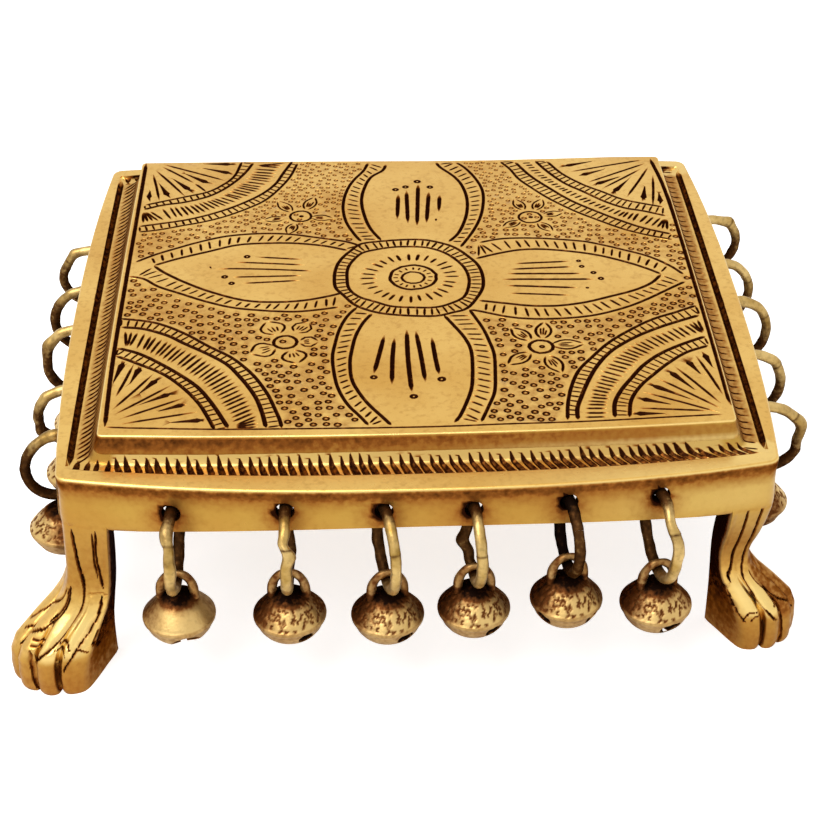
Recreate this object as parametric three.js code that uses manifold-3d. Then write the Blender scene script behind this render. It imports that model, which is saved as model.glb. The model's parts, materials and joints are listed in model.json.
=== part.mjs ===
import * as THREE from 'three';
import { mergeVertices } from 'three/addons/utils/BufferGeometryUtils.js';
import Module from 'manifold-3d';

// A small cast-brass bajot: an engraved raised panel on a rim with a narrow skirt and four paw feet.
// Split wire rings hang in drilled holes along the skirt, and a slotted ghungroo bell hangs on each.
// Millimetres, +Z up, the origin on the floor under the middle of all of it, the front towards -Y.

const wasm = await Module();
wasm.setup();

// Rim and panel
const rimHeight = 58;          // floor to the flat rim border
const rimWidth = 165;          // corner to corner along the front
const rimDepth = 149;          // corner to corner along a side
const frontBow = 7.4;          // how far the front edge bellies out, and the others
const backBow = 3;
const sideBow = 3.1;
const bowPower = 2.4;          // 2 is a parabola, and higher is flatter in the middle
const rimCornerRadius = 2.4;
const rimBevel = 0.8;
const plateThickness = 3.6;
const panelWidth = 146.8;
const panelDepth = 132.3;
const panelRise = 5.9;
const panelCove = 2.6;         // how far the foot of the panel's cove stands out from its top edge
const panelFrontBow = 2.2;
const panelSideBow = 0.5;
const panelCornerRadius = 1.2;
const panelCoveShares = [[0, 1], [0.22, 0.42], [0.55, 0.08], [1, 0]];  // up the rise, out by the cove
const bandWidth = 161.6;       // over the outside of the chiselled band round the panel
const bandDepth = 141.8;
const bandFrontBow = 5.1;
const bandBackBow = 2;
const bandSideBow = 0.5;
const bandSink = 0.6;

// Skirt and the holes in it
const skirtThickness = 3;
const skirtAtLegs = 13.6;      // skirt height beside a leg
const skirtAtMiddle = 10.6;
const archInset = 12;          // rim corner to the end of the skirt's arch
const holeDiameter = 5.6;
const holeDrop = 7.2;          // rim border to a hole's centre

// Legs: the square shank under the corner, the ankle, and the fanned paw
const shankWidth = 12.2;
const shankDepth = 13.6;
const shankFaceStep = 0.15;
const ankleHeight = 27;
const pawReach = 24.2;         // heel to the tip of the outermost toe
const heelInX = 8.4;           // heel, in from the rim corner
const heelInY = 7.8;
const kneeShare = 0.6;         // how far the shank has squared up halfway to the skirt

// Rings
const wireDiameter = 2.8;
const ringWidth = 18;          // to the middle of the wire
const ringLength = 18;
const ringButtGap = 0.5;
const wireLift = 0.12;         // the wire's middle above the middle of its hole

// Bells
const bellDiameter = 17.2;
const bellCrown = 6.4;         // seam to the top
const bellBowl = 6.1;          // seam to the bottom
const bellWall = 0.9;
const eyeWire = 1.7;
const eyeWidth = 9.6;          // over the wire
const eyeRise = 5.75;          // bell top to the middle of the wire at the top of the eye
const eyeRoot = 1.25;          // how far the eye's ends sink into the crown
const eyeClearance = 0.3;
const slotWidth = 1.6;
const slotReachShare = 0.62;   // share of the bell's radius

const overrun = 2;             // how far a cutter runs past what it cuts
const fuse = 0.5;              // how far joined solids sink into each other
const weld = 0.0005;           // points closer than this are one

const halfWidth = rimWidth / 2;
const halfDepth = rimDepth / 2;

const polishedBrass = new THREE.MeshStandardMaterial({ color: 0xc9a045, roughness: 0.28, metalness: 1 });
const wireBrass = new THREE.MeshStandardMaterial({ color: 0x8d7a45, roughness: 0.45, metalness: 1 });
const bellBrass = new THREE.MeshStandardMaterial({ color: 0x96753c, roughness: 0.42, metalness: 1 });

// Solids in and out of the boolean library

function toSolid(geometry) {
  const bare = geometry.clone();
  bare.deleteAttribute('normal');
  bare.deleteAttribute('uv');
  const merged = mergeVertices(bare, weld);
  return new wasm.Manifold(new wasm.Mesh({
    numProp: 3,
    vertProperties: new Float32Array(merged.attributes.position.array),
    triVerts: new Uint32Array(merged.index.array),
  }));
}

function toGeometry(solid) {
  const mesh = solid.getMesh();
  const geometry = new THREE.BufferGeometry();
  geometry.setAttribute('position', new THREE.BufferAttribute(mesh.vertProperties, 3));
  geometry.setIndex(new THREE.BufferAttribute(mesh.triVerts, 1));
  geometry.computeVertexNormals();
  return geometry;
}

// A closed body through a stack of outlines, lowest first, each a list of [x, y] at its own z
function loft(sections) {
  const outline = sections[0].points.map(([x, y]) => new THREE.Vector2(x, y));
  const turn = THREE.ShapeUtils.isClockWise(outline) ? -1 : 1;
  const count = outline.length;
  const positions = sections.flatMap(({ z, points }) => points.flatMap(([x, y]) => [x, y, z]));
  const index = [];
  const face = (a, b, c) => index.push(...(turn > 0 ? [a, b, c] : [a, c, b]));
  for (let level = 0; level + 1 < sections.length; level++) {
    for (let i = 0; i < count; i++) {
      const low = level * count + i;
      const lowNext = level * count + (i + 1) % count;
      face(low, lowNext, lowNext + count);
      face(low, lowNext + count, low + count);
    }
  }
  const cap = (level, facesUp) => {
    const ring = sections[level].points.map(([x, y]) => new THREE.Vector2(x, y));
    for (const [a, b, c] of THREE.ShapeUtils.triangulateShape(ring, [])) {
      const up = new THREE.Vector2().subVectors(ring[b], ring[a])
        .cross(new THREE.Vector2().subVectors(ring[c], ring[a])) > 0;
      const base = level * count;
      index.push(...(up === facesUp ? [a, b, c] : [a, c, b]).map((i) => base + i));
    }
  };
  cap(0, false);
  cap(sections.length - 1, true);
  const geometry = new THREE.BufferGeometry();
  geometry.setAttribute('position', new THREE.Float32BufferAttribute(positions, 3));
  geometry.setIndex(index);
  return geometry;
}

const edgeSteps = 8;
const cornerSteps = 3;

// Moves a point of a rectangle of half sizes hx and hy outwards, as its edges belly out
function belly([x, y], { hx, hy, front, back, side }) {
  const along = y < 0 ? front : back;
  return [
    x + Math.sign(x) * side * (1 - Math.abs(y / hy) ** bowPower) * Math.abs(x / hx),
    y + Math.sign(y) * along * (1 - Math.abs(x / hx) ** bowPower) * Math.abs(y / hy),
  ];
}

// A rounded rectangle whose four edges belly out
function bellied({ width, depth, radius, front, back, side }) {
  const points = [];
  const hx = width / 2;
  const hy = depth / 2;
  const corners = [[1, -1, -Math.PI / 2], [1, 1, 0], [-1, 1, Math.PI / 2], [-1, -1, Math.PI]];
  corners.forEach(([sx, sy, start], k) => {
    for (let i = 0; i <= cornerSteps; i++) {
      const a = start + (Math.PI / 2) * (i / cornerSteps);
      points.push([sx * (hx - radius) + radius * Math.cos(a), sy * (hy - radius) + radius * Math.sin(a)]);
    }
    const [nx, ny, nextStart] = corners[(k + 1) % 4];
    const from = points[points.length - 1];
    const to = [
      nx * (hx - radius) + radius * Math.cos(nextStart),
      ny * (hy - radius) + radius * Math.sin(nextStart),
    ];
    for (let i = 1; i < edgeSteps; i++) {
      const t = i / edgeSteps;
      points.push([from[0] + (to[0] - from[0]) * t, from[1] + (to[1] - from[1]) * t]);
    }
  });
  return points.map((point) => belly(point, { hx, hy, front, back, side }));
}

const rimBelly = { hx: halfWidth, hy: halfDepth, front: frontBow, back: backBow, side: sideBow };

function rimOutline(inset) {
  return bellied({
    width: rimWidth - 2 * inset,
    depth: rimDepth - 2 * inset,
    radius: Math.max(rimCornerRadius - inset, rimCornerRadius / 4),
    front: frontBow,
    back: backBow,
    side: sideBow,
  });
}

function panelOutline(outset) {
  return bellied({
    width: panelWidth + 2 * outset,
    depth: panelDepth + 2 * outset,
    radius: panelCornerRadius,
    front: panelFrontBow,
    back: 0,
    side: panelSideBow,
  });
}

function bandOutline() {
  return bellied({
    width: bandWidth,
    depth: bandDepth,
    radius: panelCornerRadius,
    front: bandFrontBow,
    back: bandBackBow,
    side: bandSideBow,
  });
}

// The skirt's outer face, out from the middle of the table, at a place along a side
function skirtFace(side, along) {
  return side.halfAcross + side.bow * (1 - Math.abs(along / side.halfLength) ** bowPower);
}

const frontSide = { halfLength: halfWidth, halfAcross: halfDepth, bow: frontBow };
const backSide = { ...frontSide, bow: backBow };
const shortSide = { halfLength: halfDepth, halfAcross: halfWidth, bow: sideBow };

// Hangers along each side, from the left as one faces that side. The shares are of the side's half
// length, of the hole's drop, and of the ring's width and length. Lean tips the ring outwards in its
// own plane, about the hole, and twist turns it about the upright; both are in degrees.
const frontHangers = [
  { alongShare: -0.687, dropShare: 1.033, widthShare: 1.02, lengthShare: 1.08, lean: 12, twist: -3 },
  { alongShare: -0.374, dropShare: 0.808, widthShare: 1.05, lengthShare: 1.1, lean: 12, twist: -1 },
  { alongShare: -0.104, dropShare: 0.846, widthShare: 1.05, lengthShare: 1.11, lean: 12, twist: 12 },
  { alongShare: 0.143, dropShare: 0.86, widthShare: 0.98, lengthShare: 1.04, lean: 12, twist: 7 },
  { alongShare: 0.405, dropShare: 0.76, widthShare: 0.93, lengthShare: 1.0, lean: 12, twist: 10 },
  { alongShare: 0.664, dropShare: 0.79, widthShare: 1.08, lengthShare: 1.19, lean: 12, twist: 12 },
];
const leftHangers = [
  { alongShare: -0.546, dropShare: 1.0, widthShare: 1.07, lengthShare: 0.95, lean: 12, twist: 5 },
  { alongShare: -0.26, dropShare: 1.0, widthShare: 1.01, lengthShare: 1.01, lean: 10, twist: 6 },
  { alongShare: 0.003, dropShare: 1.0, widthShare: 0.98, lengthShare: 1.08, lean: 11, twist: 2 },
  { alongShare: 0.371, dropShare: 1.0, widthShare: 0.94, lengthShare: 0.85, lean: 8, twist: 9 },
  { alongShare: 0.637, dropShare: 1.0, widthShare: 0.89, lengthShare: 0.98, lean: 20, twist: 10 },
];
const rightHangers = [
  { alongShare: -0.572, dropShare: 1.0, widthShare: 1.09, lengthShare: 1.03, lean: 14, twist: -2 },
  { alongShare: -0.262, dropShare: 1.0, widthShare: 0.94, lengthShare: 1.01, lean: 16, twist: 5 },
  { alongShare: 0.08, dropShare: 1.0, widthShare: 1.07, lengthShare: 1.07, lean: 15, twist: 7 },
  { alongShare: 0.354, dropShare: 1.0, widthShare: 0.96, lengthShare: 0.99, lean: 15, twist: 3 },
  { alongShare: 0.665, dropShare: 1.0, widthShare: 1.07, lengthShare: 0.93, lean: 21, twist: 9 },
];

const sides = [
  { name: 'front', turn: 0, ...frontSide, hangers: frontHangers },
  { name: 'right', turn: Math.PI / 2, ...shortSide, hangers: rightHangers },
  { name: 'back', turn: Math.PI, ...backSide, hangers: frontHangers },
  { name: 'left', turn: -Math.PI / 2, ...shortSide, hangers: leftHangers },
];

// Legs. A section is an outline of the same points all the way down, worked out in shares of the
// shank's rectangle (across, along) and, towards the floor, in shares of the paw's reach from the heel.
const shankShares = [
  [0, 0], [0, 0.35], [0, 0.75], [0.04, 1], [0.2, 1], [0.34, 1], [0.42, 1], [0.52, 1], [0.68, 1],
  [0.84, 0.99], [0.95, 0.95], [0.99, 0.84], [1, 0.7], [1, 0.58], [1, 0.5], [1, 0.42], [1, 0.28],
  [1, 0.14], [0.9, 0], [0.6, 0], [0.3, 0], [0.12, 0],
];
const pawShares = [
  [0, 0], [0.09, 0.24], [0.2, 0.5], [0.28, 0.63], [0.4, 0.68], [0.48, 0.66], [0.51, 0.58],
  [0.55, 0.67], [0.63, 0.69], [0.71, 0.64], [0.7, 0.55], [0.77, 0.61], [0.87, 0.58], [0.91, 0.5],
  [0.85, 0.44], [0.94, 0.45], [1, 0.37], [0.985, 0.27], [0.82, 0.17], [0.56, 0.09], [0.26, 0.01],
  [0.12, -0.03],
];
// Height as a share of the ankle's, how much of the paw shows there, and how much of its inner toe
const pawLevels = [
  { heightShare: 0, pawShare: 0.94, innerShare: 0.94 },
  { heightShare: 0.04, pawShare: 0.985, innerShare: 0.985 },
  { heightShare: 0.18, pawShare: 1, innerShare: 0.96 },
  { heightShare: 0.33, pawShare: 0.98, innerShare: 0.82 },
  { heightShare: 0.44, pawShare: 0.9, innerShare: 0.66 },
  { heightShare: 0.59, pawShare: 0.6, innerShare: 0.4 },
  { heightShare: 0.72, pawShare: 0.3, innerShare: 0.18 },
  { heightShare: 0.84, pawShare: 0.11, innerShare: 0.06 },
  { heightShare: 0.93, pawShare: 0.03, innerShare: 0.01 },
  { heightShare: 1, pawShare: 0, innerShare: 0 },
];
// How far each point of a section belongs to the inner toe, from the heel round; the rest are 0
const innerToeShares = [0, 0.6, 1, 1, 0.7, 0.3];
// The near-left and far-right feet splay wide; the other two are smaller and stand further in
const wideFoot = {
  sizeShare: 1, turn: 0, heelShares: [1, 1], shankShare: 0.92,
  ankleOutShares: [-0.07, 0.12], ankleInShares: [0.87, 0.95],
};
const tuckedFoot = {
  sizeShare: 0.85, turn: -0.13, heelShares: [1.27, 1.68], shankShare: 0.88,
  ankleOutShares: [0.34, 0.42], ankleInShares: [1, 1.08],
};

function legOutline(foot, outX, outY, inX, inY, pawShare, innerShare) {
  const cos = Math.cos(foot.turn) * pawReach * foot.sizeShare;
  const sin = Math.sin(foot.turn) * pawReach * foot.sizeShare;
  return shankShares.map(([u, v], i) => {
    const [a, b] = pawShares[i];
    const shank = [-inX + u * (inX - outX), -inY + v * (inY - outY)];
    const paw = [
      -heelInX * foot.heelShares[0] + a * cos - b * sin,
      -heelInY * foot.heelShares[1] + a * sin + b * cos,
    ];
    const share = pawShare + (innerToeShares[i] ?? 0) * (innerShare - pawShare);
    return [0, 1].map((k) => shank[k] + (paw[k] - shank[k]) * share);
  });
}

function legSolid(foot, signX, signY) {
  const place = (points) => points.map(([p, q]) => [signX * (halfWidth + p), signY * (halfDepth + q)]);
  const width = shankWidth * foot.shankShare;
  const ankleOut = [width * foot.ankleOutShares[0], shankDepth * foot.ankleOutShares[1]];
  const ankleIn = [width * foot.ankleInShares[0], shankDepth * foot.ankleInShares[1]];
  const sections = pawLevels.map(({ heightShare, pawShare, innerShare }) => ({
    z: ankleHeight * heightShare,
    points: place(legOutline(foot, ...ankleOut, ...ankleIn, pawShare, innerShare)),
  }));
  const skirtFoot = rimHeight - skirtAtLegs;
  const top = rimHeight - plateThickness + fuse;
  const bowed = (share) => ({
    ...rimBelly, front: frontBow * share, back: backBow * share, side: sideBow * share,
  });
  const levels = [
    { z: (ankleHeight + skirtFoot) / 2, share: kneeShare },
    { z: skirtFoot, share: 1 },
    { z: top, share: 1 },
  ];
  for (const { z, share } of levels) {
    const mix = (ankle, square) => ankle + (square - ankle) * share;
    sections.push({
      z,
      points: place(legOutline(
        foot,
        mix(ankleOut[0], shankFaceStep), mix(ankleOut[1], shankFaceStep),
        mix(ankleIn[0], width), mix(ankleIn[1], shankDepth), 0, 0,
      )).map((point) => belly(point, bowed(share))),
    });
  }
  return toSolid(loft(sections));
}

// The opening under one pair of facing sides, arched along its top
function archSolid(side, turned) {
  const reach = side.halfLength - archInset;
  const through = side.halfAcross + side.bow + overrun;
  const shape = new THREE.Shape();
  shape.moveTo(-reach, -overrun);
  shape.lineTo(reach, -overrun);
  shape.lineTo(reach, rimHeight - skirtAtLegs);
  shape.quadraticCurveTo(0, rimHeight - 2 * skirtAtMiddle + skirtAtLegs, -reach, rimHeight - skirtAtLegs);
  const geometry = new THREE.ExtrudeGeometry(shape, {
    depth: 2 * through, bevelEnabled: false, curveSegments: 8,
  });
  geometry.rotateX(Math.PI / 2);
  geometry.translate(0, through, 0);
  if (turned) geometry.rotateZ(Math.PI / 2);
  return toSolid(geometry);
}

function holeCutters() {
  const cutters = [];
  for (const side of sides) {
    for (const hanger of side.hangers) {
      const along = hanger.alongShare * side.halfLength;
      const face = skirtFace(side, along);
      const cutter = new THREE.CylinderGeometry(
        holeDiameter / 2, holeDiameter / 2, skirtThickness + 2 * overrun, 10,
      );
      cutter.translate(along, -(face - skirtThickness / 2), rimHeight - holeDrop * hanger.dropShare);
      cutter.rotateZ(side.turn);
      cutters.push(toSolid(cutter));
    }
  }
  return cutters;
}

function tableCasting() {
  const skirtFoot = rimHeight - skirtAtLegs;
  const block = toSolid(loft([
    { z: skirtFoot, points: rimOutline(0) },
    { z: rimHeight - rimBevel, points: rimOutline(0) },
    { z: rimHeight, points: rimOutline(rimBevel) },
  ]));
  const hollow = toSolid(loft([
    { z: skirtFoot - overrun, points: rimOutline(skirtThickness) },
    { z: rimHeight - plateThickness, points: rimOutline(skirtThickness) },
  ]));
  const bandCut = toSolid(loft([
    { z: rimHeight - bandSink, points: bandOutline() },
    { z: rimHeight + overrun, points: bandOutline() },
  ]));
  const panel = toSolid(loft([
    { z: rimHeight - bandSink - fuse, points: panelOutline(panelCove) },
    ...panelCoveShares.map(([up, out]) => ({
      z: rimHeight - bandSink + (panelRise + bandSink) * up,
      points: panelOutline(panelCove * out),
    })),
  ]));
  const pocket = toSolid(loft([
    { z: rimHeight - plateThickness - fuse, points: panelOutline(-plateThickness) },
    { z: rimHeight + panelRise - plateThickness, points: panelOutline(-plateThickness) },
  ]));
  let casting = block.subtract(hollow);
  casting = casting.subtract(archSolid(frontSide, false)).subtract(archSolid(shortSide, true));
  casting = casting.subtract(bandCut).add(panel).subtract(pocket);
  casting = casting.add(legSolid(wideFoot, -1, -1)).add(legSolid(tuckedFoot, 1, -1));
  casting = casting.add(legSolid(wideFoot, 1, 1)).add(legSolid(tuckedFoot, -1, 1));
  for (const cutter of holeCutters()) casting = casting.subtract(cutter);
  return toGeometry(casting);
}

// An oval of wire, cut through on its outer strand, that passes through its hole at the origin
class OvalWire extends THREE.Curve {
  constructor(width, length, gap) {
    super();
    this.a = width / 2;
    this.b = length / 2;
    this.gapAngle = gap / this.b;
  }

  getPoint(t) {
    const angle = this.gapAngle / 2 + (2 * Math.PI - this.gapAngle) * t;
    return new THREE.Vector3(0, -this.a * Math.cos(angle), -this.b - this.b * Math.sin(angle));
  }
}

// The middle of the wire at the lowest point of an oval that leans outwards about its top
function lowestPoint(width, length, lean) {
  const a = width / 2;
  const b = length / 2;
  const sin = Math.sin(lean);
  const cos = Math.cos(lean);
  const drop = Math.hypot(a * sin, b * cos);
  return new THREE.Vector3(0, -(b * sin + ((b * b - a * a) * sin * cos) / drop), -(b * cos + drop));
}

function wireSection(diameter, corners) {
  const shape = new THREE.Shape();
  for (let i = 0; i < corners; i++) {
    const angle = (2 * Math.PI * i) / corners;
    const point = [(diameter / 2) * Math.cos(angle), (diameter / 2) * Math.sin(angle)];
    if (i === 0) shape.moveTo(...point);
    else shape.lineTo(...point);
  }
  return shape;
}

function ringGeometry(width, length) {
  return new THREE.ExtrudeGeometry(wireSection(wireDiameter, 6), {
    steps: 14,
    bevelEnabled: false,
    extrudePath: new OvalWire(width, length, ringButtGap),
  });
}

// The arched eye on top of a bell, with the top of its wire's middle at the origin
const eyeRoundness = 0.7;      // below 1 the arch is squarer than a half ellipse
class EyeArch extends THREE.Curve {
  getPoint(t) {
    const reach = (eyeWidth - eyeWire) / 2;
    const height = eyeRise + eyeRoot;
    return new THREE.Vector3(
      -reach * Math.cos(Math.PI * t), 0, -height + height * Math.sin(Math.PI * t) ** eyeRoundness,
    );
  }
}

// Half profiles, as shares of the radius and of the crown or the bowl
const outerShares = [
  [0, 1], [0.38, 0.91], [0.72, 0.58], [1, 0.06], [1, -0.06], [0.84, -0.56], [0.45, -0.94], [0, -1],
];
const innerShares = [[0, 0.92], [0.66, 0.54], [1, 0], [0.8, -0.6], [0, -0.96]];

function bellBody(shares, inset) {
  const profile = shares.map(([r, z]) => new THREE.Vector2(
    r * (bellDiameter / 2 - inset),
    z * ((z > 0 ? bellCrown : bellBowl) - inset),
  )).reverse();
  const geometry = new THREE.LatheGeometry(profile, 10);
  geometry.rotateX(Math.PI / 2);
  return toSolid(geometry);
}

function bellGeometry() {
  const eye = new THREE.ExtrudeGeometry(wireSection(eyeWire, 5), {
    steps: 7, bevelEnabled: false, extrudePath: new EyeArch(),
  });
  eye.translate(0, 0, bellCrown + eyeRise);
  const slotReach = (bellDiameter / 2) * slotReachShare;
  const slot = new THREE.BoxGeometry(2 * slotReach, slotWidth, bellBowl);
  slot.translate(0, 0, -bellBowl);
  let bell = bellBody(outerShares, 0).add(toSolid(eye));
  bell = bell.subtract(bellBody(innerShares, bellWall)).subtract(toSolid(slot));
  return toGeometry(bell.translate([0, 0, -(bellCrown + eyeRise)]));
}

function hangerGroup(side, hanger, number, bell) {
  const along = hanger.alongShare * side.halfLength;
  const outward = skirtFace(side, along) - skirtThickness / 2;
  const width = ringWidth * hanger.widthShare;
  const length = ringLength * hanger.lengthShare;
  const lean = THREE.MathUtils.degToRad(hanger.lean);
  const group = new THREE.Group();
  group.position.set(along, -outward, rimHeight - holeDrop * hanger.dropShare + wireLift);
  group.rotation.z = THREE.MathUtils.degToRad(hanger.twist);
  const ring = new THREE.Mesh(ringGeometry(width, length).rotateX(-lean), wireBrass);
  ring.name = `ring_${side.name}_${number}`;
  const bellMesh = new THREE.Mesh(bell, bellBrass);
  bellMesh.name = `bell_${side.name}_${number}`;
  bellMesh.position.copy(lowestPoint(width, length, lean));
  bellMesh.position.z += wireDiameter / 2 + eyeWire / 2 + eyeClearance;
  group.add(ring, bellMesh);
  return group;
}

const table = new THREE.Group();
const casting = new THREE.Mesh(tableCasting(), polishedBrass);
casting.name = 'table_casting';
table.add(casting);

const bell = bellGeometry();
for (const side of sides) {
  const row = new THREE.Group();
  row.rotation.z = side.turn;
  side.hangers.forEach((hanger, i) => row.add(hangerGroup(side, hanger, i + 1, bell)));
  table.add(row);
}

const reach = new THREE.Box3().setFromObject(table, true).getCenter(new THREE.Vector3());
table.position.set(-reach.x, -reach.y, 0);

export default table;
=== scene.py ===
import json
import math
import bpy
import numpy as np
from mathutils import Matrix, Vector, kdtree, noise
from mathutils.geometry import delaunay_2d_cdt


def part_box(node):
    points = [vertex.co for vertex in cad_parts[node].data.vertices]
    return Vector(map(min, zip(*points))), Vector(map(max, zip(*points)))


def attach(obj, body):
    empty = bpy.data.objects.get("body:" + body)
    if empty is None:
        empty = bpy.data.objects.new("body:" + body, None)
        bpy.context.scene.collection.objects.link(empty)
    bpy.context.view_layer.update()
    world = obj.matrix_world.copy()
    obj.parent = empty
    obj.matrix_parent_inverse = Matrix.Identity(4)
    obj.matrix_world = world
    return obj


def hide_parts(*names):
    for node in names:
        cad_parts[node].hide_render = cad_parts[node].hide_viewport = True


# A small cast-brass bajot: an engraved raised panel on a rim with a skirt, four paw feet, and slotted
# bells on split wire rings. Pieces are worked out in millimetres from the middle of the rim, x to the
# right, y to the back, z up from the floor, and turned into metres when their meshes are made.

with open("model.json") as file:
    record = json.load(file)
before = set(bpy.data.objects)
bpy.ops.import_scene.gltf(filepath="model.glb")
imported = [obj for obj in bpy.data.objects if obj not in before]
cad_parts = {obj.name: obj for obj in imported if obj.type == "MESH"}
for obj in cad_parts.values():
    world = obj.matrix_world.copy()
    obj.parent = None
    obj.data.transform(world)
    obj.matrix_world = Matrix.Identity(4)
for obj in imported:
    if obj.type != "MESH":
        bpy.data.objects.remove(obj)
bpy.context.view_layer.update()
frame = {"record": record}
castingLow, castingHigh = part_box("table_casting")
tableMiddle = Vector(((castingLow[0] + castingHigh[0]) / 2, (castingLow[1] + castingHigh[1]) / 2, 0))
joints = {joint["name"]: joint for joint in frame["record"]["behaviour"]["joints"]}


# Shared helpers

def place(point):
    return Vector(point) * 0.001 + tableMiddle


def select(piece):
    bpy.ops.object.select_all(action="DESELECT")
    piece.select_set(True)
    bpy.context.view_layer.objects.active = piece


def faceOutwards(piece):
    select(piece)
    bpy.ops.object.mode_set(mode="EDIT")
    bpy.ops.mesh.select_all(action="SELECT")
    bpy.ops.mesh.normals_make_consistent(inside=False)
    bpy.ops.object.mode_set(mode="OBJECT")


def bareObject(name, points, faces):
    mesh = bpy.data.meshes.new(name)
    mesh.from_pydata([place(p) for p in points], [], [tuple(f) for f in faces])
    piece = bpy.data.objects.new(name, mesh)
    bpy.context.collection.objects.link(piece)
    faceOutwards(piece)
    return piece


def settle(piece, body, material, replaced=(), smooth=35):
    # Gives a piece its shading and finish, and says what it rides on and stands for
    faceOutwards(piece)
    bpy.ops.object.shade_smooth_by_angle(angle=math.radians(smooth))
    piece.data.materials.clear()
    piece.data.materials.append(material)
    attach(piece, body)
    if replaced:
        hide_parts(*replaced)


def cut(piece, tools, operation):
    # Cuts each tool from the piece or joins it on, and removes the tool
    for tool in tools:
        modifier = piece.modifiers.new("cut", "BOOLEAN")
        modifier.operation, modifier.solver, modifier.object = operation, "MANIFOLD", tool
        select(piece)
        bpy.ops.object.modifier_apply(modifier=modifier.name)
        bpy.data.objects.remove(tool)


def nearestOf(points):
    tree = kdtree.KDTree(len(points))
    for i, point in enumerate(points):
        tree.insert(point, i)
    tree.balance()
    return tree


def between(a, b, c, d, t):
    # The point a share t of the way from b to c, on a smooth curve through all four
    return 0.5 * (2 * b + (c - a) * t + (2 * a - 5 * b + 4 * c - d) * t * t
                  + (3 * b - a - 3 * c + d) * t ** 3)


def smoothCurve(points, step, closed=False):
    # Points along a Catmull-Rom curve through the given ones, about step apart
    pts = np.array(points, float)
    count = len(pts)
    out = []
    for i in range(count if closed else count - 1):
        if closed:
            a, b, c, d = (pts[(i + k) % count] for k in (-1, 0, 1, 2))
        else:
            b, c = pts[i], pts[i + 1]
            a = pts[i - 1] if i else 2 * b - c
            d = pts[i + 2] if i + 2 < count else 2 * c - b
        pieces = max(1, round(float(np.linalg.norm(c - b)) / step))
        for k in range(pieces):
            t = k / pieces
            out.append(between(a, b, c, d, t))
    if not closed:
        out.append(pts[-1])
    return np.array(out)


# Camera, fitted to the corners of the rim and the panel in the photograph

photoSize = 828
photoCamera = {
    "target": (9.603, -49.73, 58.0), "distance": 461.98,
    "azimuth": 0.0608, "elevation": 0.6034, "roll": 0.0113,
    "sensor": 36, "focalPixels": 1942.38, "middlePixel": (457.06, 407.23),
}


def addCamera(spec):
    az, el, roll = spec["azimuth"], spec["elevation"], spec["roll"]
    forward = Vector((math.sin(az) * math.cos(el), math.cos(az) * math.cos(el), -math.sin(el)))
    right = Vector((math.cos(az), -math.sin(az), 0))
    up = right.cross(forward)
    right, up = right * math.cos(roll) + up * math.sin(roll), up * math.cos(roll) - right * math.sin(roll)
    bpy.ops.object.camera_add(location=place(Vector(spec["target"]) - forward * spec["distance"]))
    camera = bpy.context.object
    camera.rotation_euler = Matrix((right, up, -forward)).transposed().to_euler()
    camera.data.sensor_width = spec["sensor"]
    camera.data.lens = spec["focalPixels"] / photoSize * spec["sensor"]
    camera.data.shift_x = (photoSize / 2 - spec["middlePixel"][0]) / photoSize
    camera.data.shift_y = (spec["middlePixel"][1] - photoSize / 2) / photoSize
    camera.data.clip_start, camera.data.clip_end = 0.01, 10
    bpy.context.scene.camera = camera


addCamera(photoCamera)


# Materials

def linear(hexCode):
    channels = [int(hexCode[i:i + 2], 16) / 255 for i in (0, 2, 4)]
    return tuple(c / 12.92 if c <= 0.04045 else ((c + 0.055) / 1.055) ** 2.4 for c in channels) + (1,)


def addNode(tree, kind, inputs, **settings):
    # Inputs are found by name or number, and each is given a value, a socket or the node that feeds it
    node = tree.nodes.new(kind)
    for name, value in settings.items():
        setattr(node, name, value)
    for key, value in inputs.items():
        if isinstance(value, bpy.types.Node):
            value = value.outputs[2 if value.bl_idname == "ShaderNodeMix" else 0]
        if isinstance(value, bpy.types.NodeSocket):
            tree.links.new(value, node.inputs[key])
        else:
            node.inputs[key].default_value = value
    return node


def newMaterial(name):
    material = bpy.data.materials.new(name)
    material.use_nodes = True
    return material, material.node_tree, material.node_tree.nodes["Principled BSDF"]


# Each brass: three tones of the bare metal, the warm film that polishing leaves in the hollows, and the
# near-black patina at the bottom of a cut. Roughness is that of the bare metal. Sizes are in mm.
brasses = {
    # cast, filed and buffed, so it mirrors softly and is brightest where hands and cloth reach
    "buffed_cast_brass": {"bright": "ebc06a", "middle": "d6a34c", "dull": "a97630", "tarnishAndShade": "b9933f",
                          "rubbedAndReflected": "f6d88a", "film": "9a5c24", "patinaAndShade": "321609",
                          "rough": 0.27, "cloud": 32, "mottle": 1.4, "pit": 0.7, "bump": 0.35},
    # drawn wire, bent and hammered shut, greenish and dull between streaks of rubbed metal
    "rubbed_brass_wire": {"bright": "dcbb78", "middle": "a8843f", "dull": "5f4726", "tarnishAndShade": "6b5226",
                          "rubbedAndReflected": "e6d8a4", "film": "5b3a1c", "patinaAndShade": "1c110b",
                          "rough": 0.33, "cloud": 5, "mottle": 1.1, "pit": 0.5, "bump": 0.5},
    # cast in sand and left brown, with only the front of the crown rubbed bright
    "antique_bell_brass": {"bright": "dcb877", "middle": "bd9354", "dull": "805a2c", "tarnishAndShade": "9c6a38",
                           "rubbedAndReflected": "e6c680", "film": "74431f", "patinaAndShade": "20120c",
                           "rough": 0.36, "cloud": 7, "mottle": 1.1, "pit": 0.6, "bump": 0.6},
}


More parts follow.
